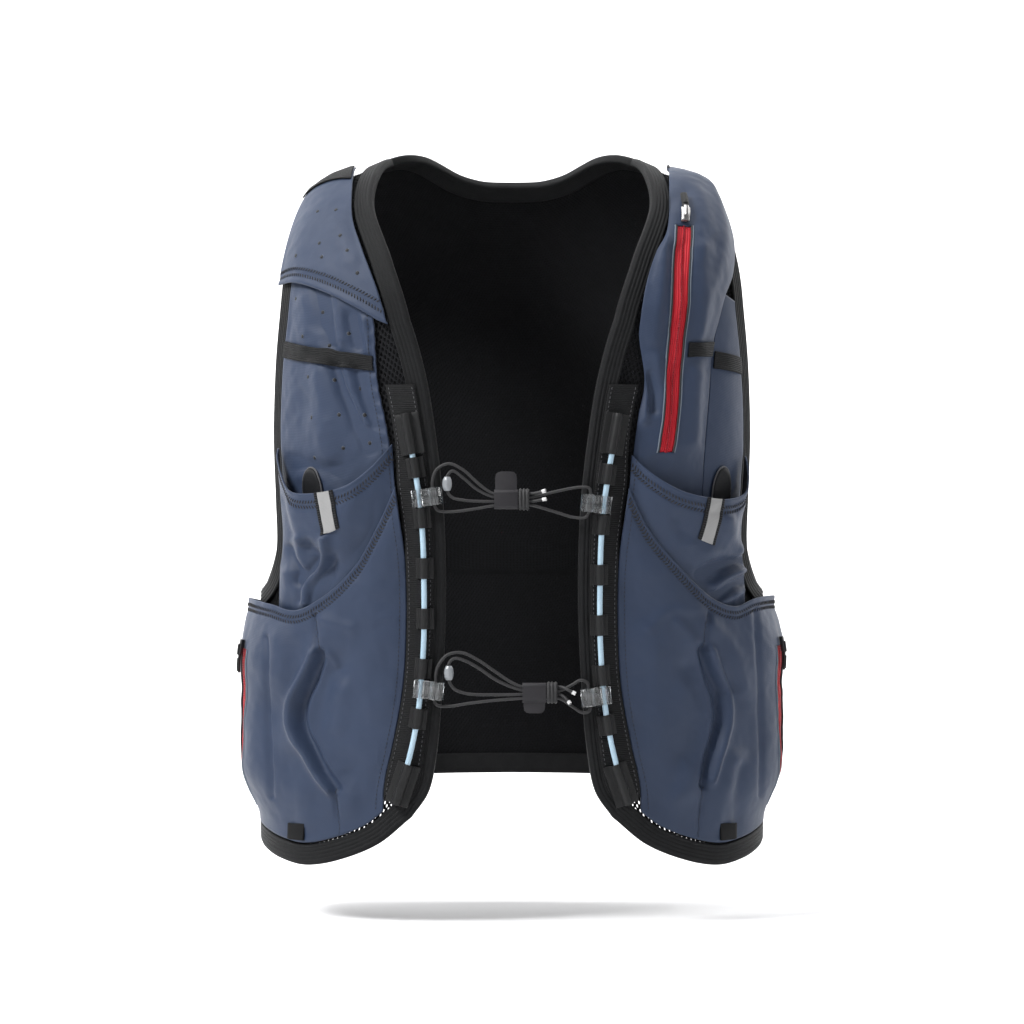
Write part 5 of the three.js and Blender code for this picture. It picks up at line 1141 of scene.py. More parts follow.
def sleevePlan():
    inner = lineThrough([
        (31.5, 0.2), (29.7, 0.25), (29.1, 0.3), (28.5, 0.333), (26.6, 0.38), (25.3, 0.42), (24.6, 0.5),
    ])
    outer = partOfLine(armholeInner, shareAt(armholeInner, 1, 0.165), shareAt(armholeInner, 1, 0.5))
    folds = [(0.25, 0.15, 0.45, 0.45, 0.12, 0.9), (0.3, 0.55, 0.75, 0.95, 0.14, 1)]

    def height(u, v):
        free = arch(u) * arch(np.minimum(v, 0.9))
        gather = 0.5 * np.exp(-((u / 0.05) ** 2)) * np.sin(v * 95) * soft(v * 8)
        return layer["clothBase"] + 2 * free * (0.6 + np.maximum(foldsAt(folds, u, v), 0)) + gather

    return {
        **navy, "side": -1, "columns": 84, "rows": 150, "height": height,
        "place": sheetBetween(
            straightLine(inner(0.0), outer(0.0)), straightLine(inner(1.0), outer(1.0)), inner, outer),
        "pinned": lambda u, v: soft(np.minimum(u, 1 - u) * 12),
        "creases": [
            ([(-120.9, -90.5), (-117.7, -105.7), (-114.5, -126.7)], 4.5, -2.4),
            ([(-110.7, -98.1), (-107.5, -123.6)], 4, 1.6),
            ([(-101.2, -109.6), (-96.7, -126.7)], 3.5, -2), ([(-92.9, -112.1), (-89.7, -129.9)], 3, 1.2),
            ([(-112, -141.4), (-106.9, -156.6), (-98, -174.5), (-89.7, -191)], 4.2, -3.2),
            ([(-104.4, -141.4), (-99.3, -159.2), (-91.6, -177)], 4, 2.2),
            ([(-96.1, -143.9), (-92.9, -161.7), (-87.8, -177.6)], 3, -1.6),
            ([(-123.4, -143.9), (-120.9, -174.5), (-115.8, -196.7)], 7, 1.6),
            ([(-131.7, -98.1), (-130.4, -126.7)], 6, 1.2),
            ([(-141.3, -201.2), (-109.4, -206.3)], 5, -1.5),
        ],
    }


sleeve = clothSheet("chest_sleeve_cloth", sleevePlan(), "navy_cloth", ["chest_sleeve"])


def flapPlan():
    inner = lineThrough([
        (37.5, 0.004), (37.2, 0.09), (36.3, 0.138), (32.9, 0.177), (28.4, 0.219), (25.7, 0.25),
    ])
    hem = lineThrough([
        (25.7, 0.25), (32, 0.236), (39.6, 0.221), (47.3, 0.208), (55.4, 0.196), (63.6, 0.188),
    ])
    outerLine = insetLine(frontArmhole, -layer["seam"])
    outer = partOfLine(outerLine, 0.01, shareAt(frontArmhole, 1, 0.188))
    shift = outer(1.0) - hem(1.0)
    return {
        **navy, "side": -1, "columns": 84, "rows": 100, "seed": 9.0, "rumple": 0.6,
        "place": sheetBetween(
            straightLine(inner(0.0), outer(0.0)), lambda t: hem(t) + shift * np.asarray(t)[..., None],
            inner, outer),
        "height": lambda u, v: layer["secondBase"] + 2 * soft(v * 3) * arch(u)
        + 0.5 * np.exp(-(((v - 0.985) / 0.012) ** 2)) - 0.4 * np.exp(-(((v - 0.945) / 0.02) ** 2)),
        "pinned": lambda u, v: soft(np.minimum(u, 1 - u) * 10),
        "creases": [
            ([(-109.4, -50.4), (-101.8, -73.9)], 6, 1.0),
            ([(-134.9, -53.6), (-137.4, -82.2)], 7, 0.8)],
        "low": layer["secondBase"] - cloth["lowGap"],
    }


flap = clothSheet("shoulder_flap_cloth", flapPlan(), "navy_cloth", ["shoulder_flap"])
perforations("perforations_flap", flap, [
    (-125.4, -38.9), (-113.3, -39.2), (-123.4, -60.6), (-109.8, -56.5), (-121.5, -70.1), (-105, -66.3),
    (-98.6, -81.6), (-138.7, -68.2),
])
perforations("perforations_sleeve", sleeve, [
    (-138.7, -96.2), (-120.3, -106.4), (-133.6, -120.4), (-103.7, -119.7), (-115.8, -127.4),
    (-129.8, -146.5), (-112.6, -149), (-96.7, -154.7),
    (-127.9, -172.6), (-109.8, -171.3), (-92.9, -171.3), (-107.5, -192.9), (-90.4, -189.1), (-126, -198.6),
])
row = np.linspace(0.02, 0.98, 120)
ladder("flap_stitches", [
    ([clothRow(flap, row, 0 * row + 0.912, 0.15)], 58), ([clothRow(flap, row, 0 * row + 0.95, 0.15)], -58),
])
seamV = np.linspace(0.03, 0.97, 130)
alongPaths("sleeve_stitches", [clothRow(sleeve, 0.05 + 0 * seamV, seamV, 0.12)], blackThread, "cord_elastic")


# zip pocket and panel of the wearer's left chest
chestOuter = lineThrough([
    (51.2, 0.004), (56.5, 0.075), (60.2, 0.13), (58.5, 0.181), (53.5, 0.221), (50, 0.274),
    (48, 0.352), (46, 0.436), (45, 0.5),
])


def chestPocketPlan():
    inner = lineThrough([
        (37.5, 0.004), (36.3, 0.088), (34.6, 0.155), (31.1, 0.182), (27.9, 0.219), (26.6, 0.26),
        (28, 0.329), (26.3, 0.378), (24.9, 0.44), (24.8, 0.5),
    ])
    zipLine = lineThrough([
        (39.3, 0.147), (37.2, 0.211), (36.4, 0.251), (35.2, 0.314), (34.3, 0.377), (32.3, 0.443),
    ])
    place = sheetBetween(
        straightLine(inner(0.0), chestOuter(0.0)), straightLine(inner(1.0), chestOuter(1.0)),
        inner, chestOuter)
    slotFrom, slotTo, marks = 4 / 14, 12 / 14, (0.42, 0.58)

    def zipShare(v):
        down = place(np.array([0.4]), np.array([v]))[0, 1]
        target = zipLine(shareAt(zipLine, 1, down))[0]
        ends = [place(np.array([x]), np.array([v]))[0, 0] for x in (0.0, 1.0)]
        return (target - ends[0]) / (ends[1] - ends[0])

    table = np.linspace(slotFrom, slotTo, 30)
    middles = np.array([zipShare(v) for v in table])

    def bent(u, v):
        middle = np.interp(v, table, middles)
        wide = np.linalg.norm(bodyPoint(place(0 * v, v)) - bodyPoint(place(0 * v + 1, v)), axis=-1)
        half = 5.4 / wide
        knots = (0 * v, middle - half, middle + half, 1 + 0 * v)
        stops = (0, *marks, 1)
        span = np.where(u < marks[0], 0, np.where(u < marks[1] - 1e-9, 1, 2))
        low, high = np.choose(span, knots[:3]), np.choose(span, knots[1:])
        start, end = np.choose(span, stops[:3]), np.choose(span, stops[1:])
        return low + (high - low) * (u - start) / (end - start)

    def height(u, v):
        folds = [(0.75, 0.1, 0.7, 0.5, 0.1, 0.2), (0.2, 0.3, 0.3, 0.8, 0.1, -0.25)]
        full = arch(u) ** 0.8 * (0.75 + foldsAt(folds, u, v))
        over = (layer["secondBase"] - layer["clothBase"]) * (1 - soft((v - 0.45) / 0.12))
        return layer["clothBase"] + over + 8 * full * soft((1 - v) / 0.18) * (0.2 + 0.8 * soft(v / 0.12))

    across = knotSteps((0, *marks, 1), (36, 11, 42))
    down = knotSteps((0, slotFrom, slotTo, 1), (50, 110, 24))
    return {
        **navy, "side": 1, "across": across, "down": down, "place": place, "bent": bent, "height": height,
        "seed": 21.0,
        "isOpen": lambda r, c: 49 <= r < 158 and 35 <= c < 45,
        "pinned": lambda u, v: soft(np.minimum(u, 1 - u) * 9),
        "creases": [
            ([(85.9, -147.7), (89.1, -156.6), (89.1, -168.1)], 3.2, -3),
            ([(81.4, -143.9), (82.1, -174.5)], 4, 1.4),
            ([(96.7, -59.9), (94.2, -91.7), (91, -123.6)], 5, 1.4),
            ([(101.2, -66.3), (99.9, -117.2)], 3.5, -1),
            ([(91, -136.3), (95.4, -161.7), (93.5, -193.5)], 4, 1.4),
            ([(121.5, -66.3), (119.6, -117.2)], 6, 1.6),
            ([(133.6, -136.3), (130.4, -161.7), (127.9, -190.4)], 4.5, -2.4),
            ([(117.7, -143.9), (115.8, -187.2)], 6, 1.8),
            ([(122.8, -143.9), (120.9, -187.2)], 3, -0.8), ([(101.8, -34.5), (112, -28.1)], 5, -1.2),
        ],
    }


chestPocket = clothSheet("chest_pocket_cloth", chestPocketPlan(), "navy_cloth", ["chest_zip_pocket"])


def sidePanelPlan():
    outer = partOfLine(armholeInner, shareAt(armholeInner, 1, 0.215), shareAt(armholeInner, 1, 0.5))
    beside = insetLine(partOfLine(chestOuter, 6 / 14, 1), layer["seam"])
    return {
        **navy, "side": 1, "columns": 40, "rows": 110, "seed": 31.0, "rumple": 0.3,
        "place": sheetBetween(
            straightLine(beside(0.0), outer(0.0)), straightLine(beside(1.0), outer(1.0)), beside, outer),
        "height": lambda u, v: layer["clothBase"] + 1.2 * arch(u) * arch(v),
    }


sidePanel = clothSheet("outer_chest_cloth", sidePanelPlan(), "navy_cloth", ["outer_chest_panel"])


zipShape = {
    "columns": 13, "rows": 90, "sunk": 0.7, "wall": 0.8, "coilSunk": 0.35, "pitch": 1.15, "coilLength": 0.95,
    "coilDepth": 0.9, "coilLean": 8, "piping": 0.5, "welt": 0.75,
}


def zipTape(name, sheet, slotU, slotV, node, side, coilWidth):
    slot, rows, columns = "red_zip", zipShape["rows"], zipShape["columns"]
    us, vs = np.linspace(*slotU, columns), np.linspace(*slotV, rows)
    points = np.stack([clothRow(sheet, u + 0 * vs, vs, -zipShape["sunk"])[0] for u in us], 1)
    run = np.concatenate([[0], np.cumsum(np.linalg.norm(np.diff(points[:, columns // 2], axis=0), axis=1))])
    wide = np.linspace(0, np.linalg.norm(points[rows // 2, 0] - points[rows // 2, -1]), columns)
    uvs = np.stack(np.broadcast_arrays(run[:, None], wide[None, :]), -1).reshape(-1, 2)
    tape = finished(name, points.reshape(-1, 3), gridFaces(rows, columns, flip=side < 0), [redTape], uvs)
    wall = tape.modifiers.new("thickness", "SOLIDIFY")
    wall.thickness, wall.offset = zipShape["wall"] * mm, -1
    settle(tape, slot, node)
    middle = sum(slotU) / 2
    line = clothRow(sheet, middle + 0 * vs, vs, -zipShape["coilSunk"])
    alongPaths(name + "_coil", [line], redCoil, slot, spacing=zipShape["pitch"], length=zipShape["coilLength"],
               width=coilWidth, depth=zipShape["coilDepth"], lean=zipShape["coilLean"])
    alongPaths(name + "_chain_line", [clothRow(sheet, middle + 0 * vs, vs, 0.1)], blackThread, slot,
               spacing=zipShape["pitch"], length=0.7, width=0.35, depth=0.3)
    for index, edge in enumerate(slotU):
        out = 1 if index else -1
        nudge = out * 0.25 * (slotU[1] - slotU[0]) / 10
        welt = clothRow(sheet, edge + nudge + 0 * vs, vs, 0.15)[0]
        tube(f"{name}_piping_{index + 1}", welt, zipShape["piping"], paleThread, 8, slot)
        black = clothRow(sheet, edge - 1.6 * nudge + 0 * vs, vs, -0.1)[0]
        tube(f"{name}_welt_{index + 1}", black, zipShape["welt"], blackThread, 8, slot)


zipTape("chest_zip_tape", chestPocket, (0.425, 0.575), (4 / 14, 12 / 14), "chest_zip", 1, 2.2)
print("chest cloth made")


# flask pockets
lowerMouths = {
    "right": [
        (23.5, 0.473), (27.5, 0.525), (32.8, 0.578), (41, 0.62), (51.4, 0.645), (62.7, 0.638), (80, 0.632),
        (100, 0.636), (116, 0.645),
    ],
    "left": [
        (23.5, 0.476), (28.1, 0.53), (35.5, 0.578), (45.4, 0.625), (54.5, 0.64), (64, 0.63), (80, 0.628),
        (100, 0.634), (116, 0.645),
    ],
}


def flaskPlan(mouthRows, lowerRows, side, creases, seed):
    mouth, lowerMouth = lineThrough(mouthRows), lineThrough(lowerRows)
    armSide = partOfLine(
        armholeInner, shareAt(armholeInner, 1, mouthRows[-1][1]), shareAt(armholeInner, 1, 0.585))
    ends = (lowerMouth(0.0)[0], armSide(1.0)[0])

    def underAt(t):
        across = (mouth(t)[0] - mouth(0.0)[0]) / (mouth(1.0)[0] - mouth(0.0)[0])
        turn = ends[0] + (ends[1] - ends[0]) * across
        return (turn, lowerMouth(shareAt(lowerMouth, 0, turn))[1] + 8 / body["drop"])

    shares = np.linspace(0, 1, 60)
    under = np.array([underAt(t) for t in shares])
    foot = lambda t: np.stack([np.interp(t, shares, under[:, axis]) for axis in (0, 1)], -1)
    shift = armSide(0.0) - mouth(1.0)
    place = sheetBetween(
        inner=straightLine(mouthRows[0], under[0]),
        outer=joinedLine([(armSide, 5), (straightLine(armSide(1.0), under[-1]), 2)]),
        top=lambda t: mouth(t) + shift * np.asarray(t)[..., None],
        bottom=foot,
    )
    folds = [(0.85, 0.25, 0.55, 0.75, 0.12, -0.4), (0.95, 0.55, 0.7, 0.95, 0.1, 0.3)]

    def height(u, v):
        full = np.maximum((1 - soft(v)) ** 1.1 + foldsAt(folds, u, v) * arch(v) * 0.6, 0)
        return layer["secondBase"] + 13 * arch(u) ** 0.8 * full

    return {
        **navy, "side": side, "columns": 130, "rows": 110, "place": place, "height": height, "hem": 8.5,
        "creases": creases, "seed": seed, "held": "gathered", "low": layer["secondBase"] - cloth["lowGap"],
        "pinned": lambda u, v: soft(np.minimum(u, 1 - u) * 14 + 0.15) * soft((1 - v) * 6 + 0.1),
    }


flaskRight = clothSheet("flask_pocket_cloth_right", flaskPlan(
    [(24.3, 0.415), (28.5, 0.446), (33.8, 0.471), (42.6, 0.482), (50.5, 0.478), (56, 0.45), (62.5, 0.419)],
    lowerMouths["right"],
    -1,
    [
        ([(-117.7, -250.8), (-117.1, -261), (-123.4, -271.2), (-130.4, -278.8), (-131.7, -290.3)], 3.6, 3.8),
        ([(-129.8, -254), (-123.4, -261), (-124.7, -268.6), (-134.9, -276.3)], 3.4, -3.6),
        ([(-141.9, -255.9), (-139.3, -263.5), (-133, -273.7), (-134.3, -289)], 3.2, -2.6),
        ([(-134.9, -250.8), (-133.6, -261), (-131.1, -267.4)], 3, 2.2),
        ([(-143.8, -273.1), (-145.1, -292.2)], 4, 1.6),
        ([(-112.6, -263.5), (-120.9, -282.6), (-124.7, -289)], 3.2, -2.4),
        ([(-101.8, -225.4), (-109.4, -254)], 8, 1.4),
        ([(-140, -231.7), (-137.4, -250.8)], 5, 1.2),
    ], 41.0), "navy_cloth", ["flask_pocket_right"])
flaskLeft = clothSheet("flask_pocket_cloth_left", flaskPlan(
    [(24.3, 0.43), (27.9, 0.452), (34.3, 0.476), (40.3, 0.486), (49, 0.49), (57.5, 0.478), (63.5, 0.43)],
    lowerMouths["left"],
    1,
    [
        ([(119.6, -272.5), (127.3, -267.4), (138.7, -265.5), (150.2, -263.5)], 3.2, -3.6),
        ([(127.3, -280.1), (134.9, -275), (148.3, -269.9)], 3, 3.2),
        ([(128.5, -287.7), (138.7, -281.4), (150.2, -275)], 3, -2.8),
        ([(133.6, -290.3), (143.8, -285.2), (150.2, -281.4)], 3, 2.0),
        ([(137.4, -238.1), (141.3, -254), (147.6, -258.5)], 5, 2.4),
        ([(113.3, -254), (123.4, -258.5), (134.9, -257.2)], 5, 1.6),
        ([(105.6, -238.1), (115.8, -255.9)], 6, -1.2),
    ], 51.0), "navy_cloth", ["flask_pocket_left"])


# lower pockets, wrapped round the sides, with a zip in each side
def lowerPlan(mouthRows, folds, side, creases, seed):
    mouth = lineThrough(mouthRows)
    inset = armholeInset + 2 * layer["seam"]
    frontPart, backPart = insetLine(frontHem, inset), insetLine(backHem, inset)
    bottom = joinedLine([
        (partOfLine(frontPart, shareAt(frontPart, 0, pocketInner(1.0)[0]), 1), 8),
        (partOfLine(backPart, 0.02, shareAt(backPart, 0, 116)), 4),
    ])
    inner = partOfLine(
        pocketInner, shareAt(pocketInner, 1, mouthRows[0][1]), shareAt(pocketInner, 1, bottom(0.0)[1]))

    def meetInner(line, start):
        shift = start - line(0.0)
        return lambda t: line(t) + shift * (1 - np.asarray(t))[..., None]

    top, foot = meetInner(mouth, inner(0.0)), meetInner(bottom, inner(1.0))
    place = sheetBetween(top, foot, inner, straightLine(top(1.0), foot(1.0)))
    marks, knots = (8 / 12, 9 / 12), (0.57, 0.65)

    def bent(u, v):
        return np.interp(u, (0, *marks, 1), (0, *knots, 1))

    def height(u, v):
        length = (place(u, 0 * v + 1)[..., 1] - place(u, 0 * v)[..., 1]) * body["drop"]
        sunk = soft((v * length - 14) / 45)
        base = layer["clothBase"] + (layer["mouthBase"] - layer["clothBase"]) * (1 - sunk)
        flank = arch(np.minimum(u, 0.97)) ** 0.7 * (0.35 + 0.65 * soft((u - 0.2) / 0.4))
        belly = soft(v / 0.3) * soft((1 - v) / 0.25) + 0.25 * (1 - soft(v / 0.3))
        creased = foldsAt(folds, u, v) * soft((1 - v) / 0.2) * soft(v / 0.12)
        return base + 12 * np.maximum(flank * (belly + creased), 0)

    across = knotSteps((0, *marks, 1), (100, 9, 40))
    down = knotSteps((0, 0.22, 0.92, 1), (32, 90, 10))
    return {
        **navy, "side": side, "across": across, "down": down, "place": place, "bent": bent, "height": height,
        "isOpen": lambda r, c: 31 <= r < 120 and 99 <= c < 107, "hem": 8.0, "creases": creases, "seed": seed,
        "pinned": lambda u, v: soft(np.minimum(u, 1 - u) * 16 + 0.15) * soft((1 - v) * 10),
        "held": "gathered",
    }


lowerRight = clothSheet("lower_pocket_cloth_right", lowerPlan(
    lowerMouths["right"],
    [(0.34, 0.02, 0.42, 0.45, 0.06, -0.35), (0.42, 0.45, 0.3, 0.9, 0.07, -0.3),
    (0.5, 0.25, 0.52, 0.7, 0.08, 0.2)],
    -1,
    [
        ([(-125.4, -297.9), (-124.1, -309.4), (-122.8, -320.8)], 1.5, -1.5),
        ([(-124.7, -323.4), (-131.1, -337.4), (-138.1, -353.9), (-138.1, -371.1), (-130.4, -386.3),
         (-122.2, -401), (-114.5, -409.9)], 3.4, 4.4),
        ([(-121.5, -322.1), (-127.3, -338.6), (-133.6, -354.5), (-133.6, -371.1), (-126, -385.7),
         (-118.4, -399.7), (-112, -408.6)], 2.6, -6.4),
        ([(-113.3, -332.3), (-119.6, -352.6), (-119.6, -369.8), (-112, -383.2), (-104.4, -395.9)], 9, -3.4),
        ([(-121.5, -320.8), (-115.8, -323.4), (-112, -329.7)], 2.6, 1.8),
        ([(-112.6, -409.9), (-110.7, -425.8), (-109.4, -442.3)], 1.5, -1.6),
        ([(-109.4, -346.3), (-114.5, -371.7), (-106.3, -394)], 9, 2.4),
        ([(-146.3, -314.4), (-145.1, -346.3), (-140, -378.1)], 9, 2.2),
        ([(-156.5, -314.4), (-155.3, -378.1), (-154, -416.3)], 2, -1.4),
        ([(-87.2, -301.7), (-89.1, -352.6)], 14, 1.6),
        ([(-103.1, -416.3), (-95.4, -438.5)], 8, 1.2), ([(-134.9, -409.9), (-131.1, -432.2)], 7, 1.0),
        ([(-119, -301.7), (-101.8, -306.8)], 4, 0.9),
    ], 61.0), "navy_cloth", ["lower_pocket_right"])
lowerLeft = clothSheet("lower_pocket_cloth_left", lowerPlan(
    lowerMouths["left"],
    [(0.36, 0.02, 0.36, 0.35, 0.06, -0.35), (0.36, 0.35, 0.42, 0.6, 0.07, -0.3),
    (0.26, 0.3, 0.3, 0.85, 0.07, 0.25)],
    1,
    [
        ([(125.4, -296.6), (122.8, -308.1), (122.2, -319.5)], 1.5, -1.6),
        ([(125.4, -322.1), (130.4, -336.7), (135.5, -350.7), (136.2, -368.5), (131.1, -385.7),
         (125.4, -403.5)], 3.4, 4.2),
        ([(121.5, -320.8), (126.6, -337.4), (131.1, -350.7), (131.7, -368.5), (126.6, -385.7),
         (121.5, -406.1)], 2.6, -6.0),
        ([(114.5, -332.3), (118.4, -352.6), (118.4, -369.8), (114.5, -385.7)], 9, -3.0),
        ([(121.5, -408.6), (119.6, -425.8), (118.4, -443)], 1.5, -1.6),
        ([(114.5, -314.4), (104.4, -303)], 4, 1.4),
        ([(117.7, -294.1), (96.7, -296.6), (86.5, -305.5)], 4, 1.2),
        ([(127.3, -304.9), (138.7, -320.8), (146.3, -346.3)], 6, 2.2),
        ([(155.9, -296.6), (159.1, -352.6), (160.3, -416.3)], 2, -1.4),
        ([(113.3, -346.3), (119.6, -378.1), (109.4, -409.9)], 9, 2.0),
        ([(89.1, -314.4), (94.2, -365.4)], 14, 1.6),
        ([(141.9, -390.8), (133.6, -416.3), (129.8, -438.5)], 6, 1.6),
        ([(146.3, -397.2), (143.8, -422.6), (145.1, -438.5)], 4, -1.4),
        ([(101.8, -416.3), (105.6, -438.5)], 7, 1.0),
    ], 71.0), "navy_cloth", ["lower_pocket_left"])
for sheet, side, label in ((lowerRight, -1, "right"), (lowerLeft, 1, "left")):
    zipTape("side_zip_tape_" + label, sheet, (8 / 12, 9 / 12), (0.22, 0.92), "side_zip_" + label, side, 2.4)
for name, sheet, depths in (
    ("flask_stitches_right", flaskRight, (5.6, 8.9)), ("flask_stitches_left", flaskLeft, (5.6, 8.9)),
    ("lower_stitches_right", lowerRight, (4.4, 7.7)), ("lower_stitches_left", lowerLeft, (4.4, 7.7)),
):
    lean = 58 if name.endswith("right") else -58
    ladder(name, [([rowAtDepth(sheet, depths[0], 0.01, 0.99, 260)], lean),
                  ([rowAtDepth(sheet, depths[1], 0.01, 0.99, 260)], -lean)])
    v = np.linspace(0.04, 0.97, 120)
    alongPaths(name + "_inner", [clothRow(sheet, 0.03 + 0 * v, v, 0.12)], blackThread, "cord_elastic",
               spacing=2.8)
for name, sheet, path in (
    ("seam_right_top", lowerRight, [(-125.5, -299.8), (-124.1, -309.4), (-122.5, -320.2)]),
    ("seam_right_low", lowerRight, [(-112.3, -409.9), (-110.7, -425.8), (-109.7, -442.3)]),
    ("seam_left_top", lowerLeft, [(124.7, -297.9), (122.8, -308.1), (122, -318.9)]),
    ("seam_left_low", lowerLeft, [(121.5, -409.3), (119.6, -425.8), (118.4, -442.3)]),
):
    steps = shareLine(np.array(path, float))(np.linspace(0, 1, 24))
    made = [onCloth(sheet, x, z, 0.1) for x, z in steps]
    alongPaths(name, [(np.array([p for p, _ in made]), np.array([n for _, n in made]))], blackThread,
               "cord_elastic", spacing=2.2, length=2.0, width=0.5, depth=0.4)
print("pockets made")


# elastic loops, labels and tabs laid on the cloths
def patchOn(name, sheet, uRange, vRange, lift, thick, material, slot, node, side, counts=(24, 14), bow=0.0):
    us, vs = np.linspace(*uRange, counts[0]), np.linspace(*vRange, counts[1])
    rows = []
    for v in vs:
        rise = lift + thick + bow * arch((us - uRange[0]) / (uRange[1] - uRange[0]))
        points, normals = clothRow(sheet, us, v + 0 * us, 0.0)
        rows.append(points + normals * rise[:, None])
    points = np.array(rows)
    wide = np.cumsum(np.r_[0, np.linalg.norm(np.diff(points[0], axis=0), axis=1)])
    long = np.cumsum(np.r_[0, np.linalg.norm(np.diff(points[:, 0], axis=0), axis=1)])
    uvs = np.stack(np.broadcast_arrays(wide[None, :], long[:, None]), -1).reshape(-1, 2)
    faces = gridFaces(counts[1], counts[0], flip=side < 0)
    piece = finished(name, points.reshape(-1, 3), faces, [material], uvs)
    wall = piece.modifiers.new("thickness", "SOLIDIFY")
    wall.thickness, wall.offset = thick * mm, -1
    worn = piece.modifiers.new("soft edges", "BEVEL")
    worn.width, worn.segments, worn.limit_method = 0.2 * mm, 2, "ANGLE"
    settle(piece, slot, *([node] if node else []))


def downRange(sheet, u, down, wide):
    points, _ = clothRow(sheet, u + 0 * np.linspace(0, 1, 200), np.linspace(0, 1, 200), 0)
    middle = np.interp(down, -points[:, 2] / body["drop"], np.linspace(0, 1, 200))
    length = np.linalg.norm(np.diff(points, axis=0), axis=1).sum()
    return middle - wide / 2 / length, middle + wide / 2 / length


for name, sheet, uRange, down, node, side in (
    ("chest_band_right", sleeve, (0.02, 0.98), 0.292, "chest_loop_right", -1),
    ("chest_band_left_front", chestPocket, (0.62, 0.98), 0.283, "chest_loop_left_front", 1),
    ("chest_band_left_outer", sidePanel, (0.04, 0.96), 0.3, "chest_loop_left_outer", 1),
):
    middle = sum(uRange) / 2
    patchOn(name, sheet, uRange, downRange(sheet, middle, down, 11.0), 0.3, 1.0, elasticTape, "black_tape",
            node, side, (60, 12), 0.8)
for label, sheet, middle, side in (("right", flaskRight, 0.42, -1), ("left", flaskLeft, 0.5, 1)):
    row = clothRow(sheet, np.array([0.4, 0.6]), np.array([0.2, 0.2]), 0)[0]
    half = 7 * 0.2 / np.linalg.norm(row[1] - row[0])
    length = sheet["fromTop"][-1, 60]
    reach = (0.004, 28 / length)
    patchOn("label_grey_" + label, sheet, (middle - half * 0.62, middle + half * 0.62), reach, 0.75, 0.3,
            labelSatin, "label_cloth", None, side)
    patchOn("label_base_" + label, sheet, (middle - half, middle + half), reach, 0.2, 0.5,
            liningCloth, "label_cloth", "label_tab_" + label, side)
    v = np.linspace(*reach, 30)
    for index, edge in enumerate((-0.8, 0.8)):
        row = clothRow(sheet, middle + half * edge + 0 * v, v, 0.85)
        alongPaths(f"label_stitches_{label}_{index + 1}", [row], blackThread, "cord_elastic",
                   spacing=1.5, length=0.5, width=2.4, depth=0.4)


def zipSlider(name, sheet, u, v, direction, node, side, metal, pullMetal):
    length = np.linalg.norm(np.diff(sheet["points"][:, len(sheet["u"]) // 2], axis=0), axis=1).sum()
    wide = np.linalg.norm(np.diff(sheet["points"][len(sheet["v"]) // 3], axis=0), axis=1).sum()
    parts = (
        ("body", -4.8, 4.8, 5.6, 2.3, metal), ("waist", -1.6, 5.4, 3.0, 3.2, metal),
        ("pull", 4.2, 17.0, 4.2, 1.3, pullMetal), ("grip", 7.5, 16.0, 3.0, 1.9, pullMetal),
    )
    for label, start, end, width, thick, material in parts:
        reach = sorted((v + direction * start / length, v + direction * end / length))
        lift = 0.5 if label in ("body", "waist") else 1.5
        reachU = (u - width / 2 / wide, u + width / 2 / wide)
        patchOn(f"{name}_{label}", sheet, reachU, reach, lift, thick, material, "black_metal",
                node if label == "body" else None, side, (5, 9), 0.5)


zipSlider("chest_slider", chestPocket, 0.5, 0.262, -1, "chest_zip_slider", 1, brightMetal, rubber)
for sheet, side, label in ((lowerRight, -1, "right"), (lowerLeft, 1, "left")):
    zipSlider("side_slider_" + label, sheet, 8.5 / 12, 0.215, 1, "side_zip_slider_" + label, side, blackMetal,
              rubber)


flaskRim = {"half": 8.2, "tall": 21.0, "rim": 0.55, "wall": 0.9}


def flaskLoop(name, sheet, u, v, node, side):  # rounded loop that stands inside a flask mouth
    length = np.linalg.norm(np.diff(sheet["points"][:, len(sheet["u"]) // 2], axis=0), axis=1).sum()
    wide = np.linalg.norm(np.diff(sheet["points"][-1], axis=0), axis=1).sum()
    angles = np.linspace(0, math.pi, 30)
    out, up = flaskRim["half"] / wide * np.cos(angles), flaskRim["tall"] / length * np.sin(angles) ** 0.8
    rim = clothRow(sheet, u + out, v - up, 1.5)[0]
    tube(name + "_rim", rim, flaskRim["rim"], greyThread, 8, "black_tape")
    points = np.array([clothRow(sheet, u + out * s, v - up * s, 1.4)[0] for s in np.linspace(0, 0.97, 8)])
    plate = finished(name, points.reshape(-1, 3), gridFaces(8, 30, flip=side > 0), [liningCloth],
                     points[..., [0, 2]].reshape(-1, 2))
    wall = plate.modifiers.new("thickness", "SOLIDIFY")
    wall.thickness, wall.offset = flaskRim["wall"] * mm, -1
    settle(plate, "black_tape", node)


flaskLoop("flask_loop_right", sleeve, 0.62, 0.97, "flask_tab_right", -1)
flaskLoop("flask_loop_left", sidePanel, 0.4, 0.97, "flask_tab_left", 1)
patchOn("yoke_band_right", flap, (0.02, 0.98), (0.005, 0.26), 0.35, 0.9, elasticTape, "black_tape", None, -1,
        (60, 14), 0.2)


